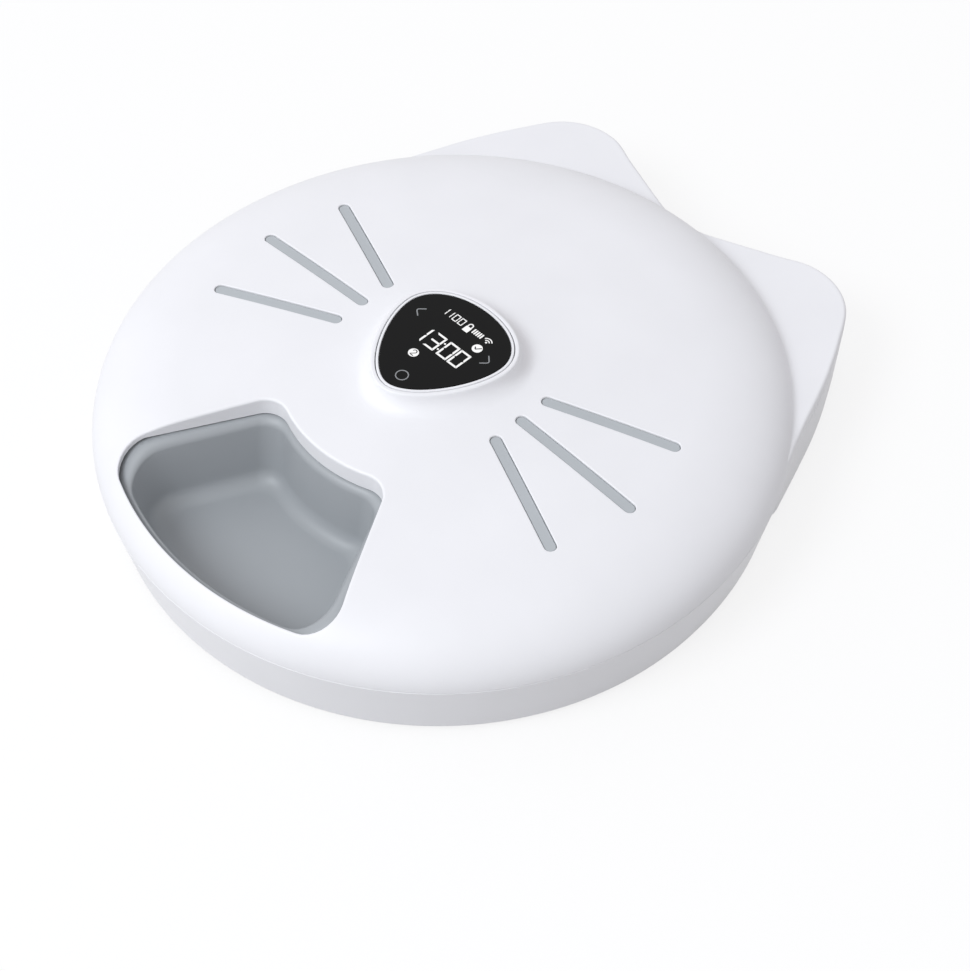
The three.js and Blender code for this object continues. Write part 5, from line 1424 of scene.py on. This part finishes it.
# %% The finishes by slot
finish = {
    # Satin ABS, cool white: a fine spark texture that spreads each highlight into a sheen
    "shell_white": grained("satin white ABS", "F4F4F6", 0.42, 0.4, 0.002),
    # The same plastic from plain moulds: inner parts look duller and a little greyer
    "inner_white": grained("plain white ABS", "E9EBED", 0.55, 0.5, 0.004),
    # Light grey ABS: the whisker bars are matt and a clear step darker than the shell
    "whisker_grey": grained("light grey ABS", "B9BEC1", 0.5, 0.35, 0.003),
    # Food-safe polypropylene: a waxy grey with soft, broad reflections
    "tray_grey": grained("grey food-safe polypropylene", "A9ADB0", 0.4, 0.5, 0.002),
    # Black cover glass with a coating that takes the glare: deep, with faint reflections
    "display_black": grained(
        "black coated glass", "060607", 0.12, 0.5, 0.0001, 0.1, **{"Specular IOR Level": 0.15},
    ),
    # Dark grey ABS: a housing with a clear grain
    "dark_plastic": grained("dark grey ABS", "34373A", 0.5, 0.4, 0.004),
    # Natural acetal of gears and rollers: cream white and smooth, almost greasy
    "gear_plastic": grained("natural acetal", "E2E3DC", 0.34, 0.6, 0.001),
    # Light grey ABS of the button, polished a little by fingers
    "button_grey": grained("button grey ABS", "B9BEC1", 0.48, 0.35, 0.003),
    # Grey rubber: no highlight at all, and a coarse skin
    "foot_rubber": grained("grey rubber", "6E7376", 0.8, 0.3, 0.01),
    # Pale silicone: softer than the rubber, with a dull gleam
    "seal_rubber": grained("pale silicone", "CFD2D4", 0.6, 0.3, 0.004),
    # Blown polythene with blue gel inside: uneven walls and a wet shine
    "ice_pack": grained("blown polythene with blue gel", "A9C6E0", 0.25, 2.0, 0.02),
    # Solder mask over copper: glossy green, uneven where the copper lies under it
    "board_green": grained("green solder mask", "1F5A3B", 0.35, 1.2, 0.01, 0.25),
    # Polyimide film: amber and smooth
    "ribbon_amber": grained("amber polyimide film", "C98A3A", 0.3, 1.0, 0.002, 0.15),
    # Zinc-plated steel: bright, with a cool and slightly clouded shine
    "screw_steel": grained("zinc-plated steel", "C0C2C4", 0.32, 0.2, 0.002, 0.1, Metallic=1.0),
    # Cold-rolled steel: streaked and softly bright
    "motor_steel": grained("cold-rolled steel", "B6B8BB", 0.38, 0.3, 0.003, 0.12, Metallic=1.0),
    # Nickel plate: the brightest metal here, with a warm tint
    "contact_nickel": grained("nickel plate", "CCCBC4", 0.22, 0.3, 0.001, 0.06, Metallic=1.0),
    # Printed film round a cell: dark and glossy
    "cell_wrap": grained("dark printed film", "3B4047", 0.3, 0.4, 0.001, 0.08),
}
print("finishes:", len(finish))

# %% [markdown]
# Some finishes carry a pattern over their ground: copper tracks that show through the
# solder mask, the conductors of the ribbon, the bands at the ends of a cell's film, and
# the streaks that the rolls leave in steel. The tracks of a real board run in all
# directions, and a plain net of 0.2 mm lines with meshes of 3 by 1.5 mm stands for them.
# The signs get two finishes of their own.

# %% Patterns, and every piece gets its finish
TRACK_NET_MM = 6
STREAK_LONG_MM, STREAK_WIDE_MM = 10, 0.25
board, motor = finish["board_green"], finish["motor_steel"]
place = add(board, "ShaderNodeTexCoord").outputs["Object"]
net = add(
    board, "ShaderNodeTexBrick", {"Vector": place}, Scale=1000 / TRACK_NET_MM, Mortar_Size=0.03,
)
overlaid(board, "3C8A5C", net.outputs["Fac"])
banded(finish["ribbon_amber"], "8A5A22", 1.0, 0.4, "X")
banded(finish["cell_wrap"], "B08D4A", CELL_LENGTH, 0.1, "Y", axis_y * 1000 + CELL_LENGTH / 2)
place = add(motor, "ShaderNodeTexCoord").outputs["Object"]
along, across = 1000 / STREAK_LONG_MM, 1000 / STREAK_WIDE_MM
stretch = {0: place, 1: (along, across, across)}
drawn = add(motor, "ShaderNodeVectorMath", stretch, operation="MULTIPLY")
streaks = add(motor, "ShaderNodeTexNoise", {"Vector": drawn.outputs[0]}, Scale=1.0)
overlaid(motor, "9A9C9F", streaks.outputs["Fac"])
# Milky film over white diodes: it glows evenly and throws no light of note
lit = grained("lit milky film", "202020", 0.4, 0.5, 0.0002, 0.02)
surface_of(lit).inputs["Emission Color"].default_value = light("FFFFFF")
surface_of(lit).inputs["Emission Strength"].default_value = 0.95
# Grey ink under the glass: flat and dim beside the lit signs
ink = grained("grey printed ink", "8F9193", 0.4, 0.5, 0.0002, 0.05)
signs = {"lit": lit, "printed": ink}
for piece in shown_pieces():
    start = piece.name.split("_")[0]
    piece.data.materials.clear()
    piece.data.materials.append(signs.get(start) or finish[piece["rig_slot"]])

# %% [markdown]
# ## Light and camera
#
# The photograph shows a white studio. The floor is white and keeps only the soft shadow
# round the feeder's foot. To the camera and in reflections the floor glows white, and to
# other light it is a pale grey, so that it throws less light back at the walls.

# %% Floor
FLOOR_WHITE_SHARE = 0.8
FLOOR_SIZE = 6


def straight_sight(where):
    """1 for a look from the camera, in a mirror or through glass, and 0 for other light."""
    path = add(where, "ShaderNodeLightPath")
    seen = path.outputs["Is Camera Ray"]
    for name in ("Is Glossy Ray", "Is Transmission Ray"):
        either = {0: seen, 1: path.outputs[name]}
        seen = add(where, "ShaderNodeMath", either, operation="MAXIMUM").outputs[0]
    return seen


floor_bm = bmesh.new()
bmesh.ops.create_grid(floor_bm, x_segments=8, y_segments=8, size=FLOOR_SIZE)
floor_mesh = bpy.data.meshes.new("floor")
floor_bm.to_mesh(floor_mesh)
floor_bm.free()
floor = in_scene("floor", floor_mesh)
white = bpy.data.materials.new("white floor")
white.use_nodes = True
floor_mesh.materials.append(white)
floor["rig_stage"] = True
paint = surface_of(white)
paint.inputs["Roughness"].default_value = 0.9
paint.inputs["Specular IOR Level"].default_value = 0.1
sight = straight_sight(white)
tone = add(
    white, "ShaderNodeMix",
    {0: sight, FIRST_COLOUR: light("B4B4B4"), SECOND_COLOUR: light("FFFFFF")}, data_type="RGBA",
)
white.node_tree.links.new(tone.outputs[MIXED], paint.inputs["Base Color"])
part = add(white, "ShaderNodeMath", {0: sight, 1: FLOOR_WHITE_SHARE}, operation="MULTIPLY")
glow = add(white, "ShaderNodeEmission", Color=light("FFFFFF"), Strength=1.0)
both = add(
    white, "ShaderNodeMixShader", {0: part.outputs[0], 1: paint.outputs[0], 2: glow.outputs[0]},
)
white.node_tree.links.new(both.outputs[0], white.node_tree.nodes["Material Output"].inputs[0])
print("floor:", floor.dimensions.x, "m across")

# %% [markdown]
# Light comes from all sides, more of it from the left of the picture than from the
# right, and one large soft lamp stands in front at the left. The left flank of the lid
# is therefore the brightest part and the wall at the right the darkest. The sky is the
# world's colour: its strength leans from one side to the other.

# %% Sky and lamp
SKY_LEVEL = 0.73
SKY_LEAN = 0.27
BRIGHT_SIDE = (-0.66, -0.75, 0)
LAMP_PLACE = Vector((-0.3, -2.1, 2.4))
LAMP_SIZE = 1.5
LAMP_POWER = 38

world = bpy.data.worlds.new("studio")
bpy.context.scene.world = world
world.use_nodes = True
way = add(world, "ShaderNodeTexCoord").outputs["Generated"]
side = add(world, "ShaderNodeVectorMath", {0: way, 1: BRIGHT_SIDE}, operation="DOT_PRODUCT")
lean = add(
    world, "ShaderNodeMapRange", {"Value": side.outputs["Value"]}, From_Min=-1.0, From_Max=1.0,
    To_Min=SKY_LEVEL - SKY_LEAN, To_Max=SKY_LEVEL + SKY_LEAN,
)
sight = straight_sight(world)
level = add(world, "ShaderNodeMapRange", {"Value": sight, "To Min": lean.outputs[0]}, To_Max=1.0)
tint = add(
    world, "ShaderNodeMix",
    {0: sight, FIRST_COLOUR: light("FCFBFF"), SECOND_COLOUR: light("FFFFFF")}, data_type="RGBA",
)
back = world.node_tree.nodes["Background"]
world.node_tree.links.new(tint.outputs[MIXED], back.inputs["Color"])
world.node_tree.links.new(level.outputs[0], back.inputs["Strength"])
lamp_data = bpy.data.lights.new("key", "AREA")
lamp_data.shape = "DISK"
lamp_data.size = LAMP_SIZE
lamp_data.energy = LAMP_POWER
lamp_data.color = light("F4FAFF")[:3]
lamp = in_scene("key", lamp_data)
lamp.location = LAMP_PLACE
lamp.rotation_euler = (-LAMP_PLACE).to_track_quat("-Z", "Y").to_euler()
print("lamp:", round(LAMP_PLACE.length, 2), "m from the feeder")

# %% [markdown]
# The photograph was taken from the front right and above, at an angle of about fifty
# degrees. These values come from fitting a camera to the feeder's outlines in it, which
# also gave the proportions of the body.

# %% Camera
AZIMUTH = math.radians(45.22)
ELEVATION = math.radians(50.38)
DISTANCE = 0.96765
TARGET = Vector((0.02684, -0.01249, 0.002))
camera_data = bpy.data.cameras.new("camera")
camera_data.sensor_width = 36
camera_data.lens = 78.96
camera_data.clip_end = 50
camera = in_scene("camera", camera_data)
flat_share = math.cos(ELEVATION)
aim = Vector((
    math.sin(AZIMUTH) * flat_share, -math.cos(AZIMUTH) * flat_share, math.sin(ELEVATION),
))
camera.location = TARGET + aim * DISTANCE
camera.rotation_euler = (-aim).to_track_quat("-Z", "Y").to_euler()
bpy.context.scene.camera = camera
bpy.context.scene.view_settings.view_transform = "Standard"
print("camera at", camera.location.to_tuple(3))

# %% [markdown]
# The last cell measures the boxes of the imported model and of the finished one, which must
# agree, and prints them.

# %% Sizes of the imported and the finished model
final_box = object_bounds()
plain = [[[float(v) for v in corner] for corner in edges] for edges in (cad_box, final_box)]
print("CAD box:", cad_box, "finished box:", final_box)
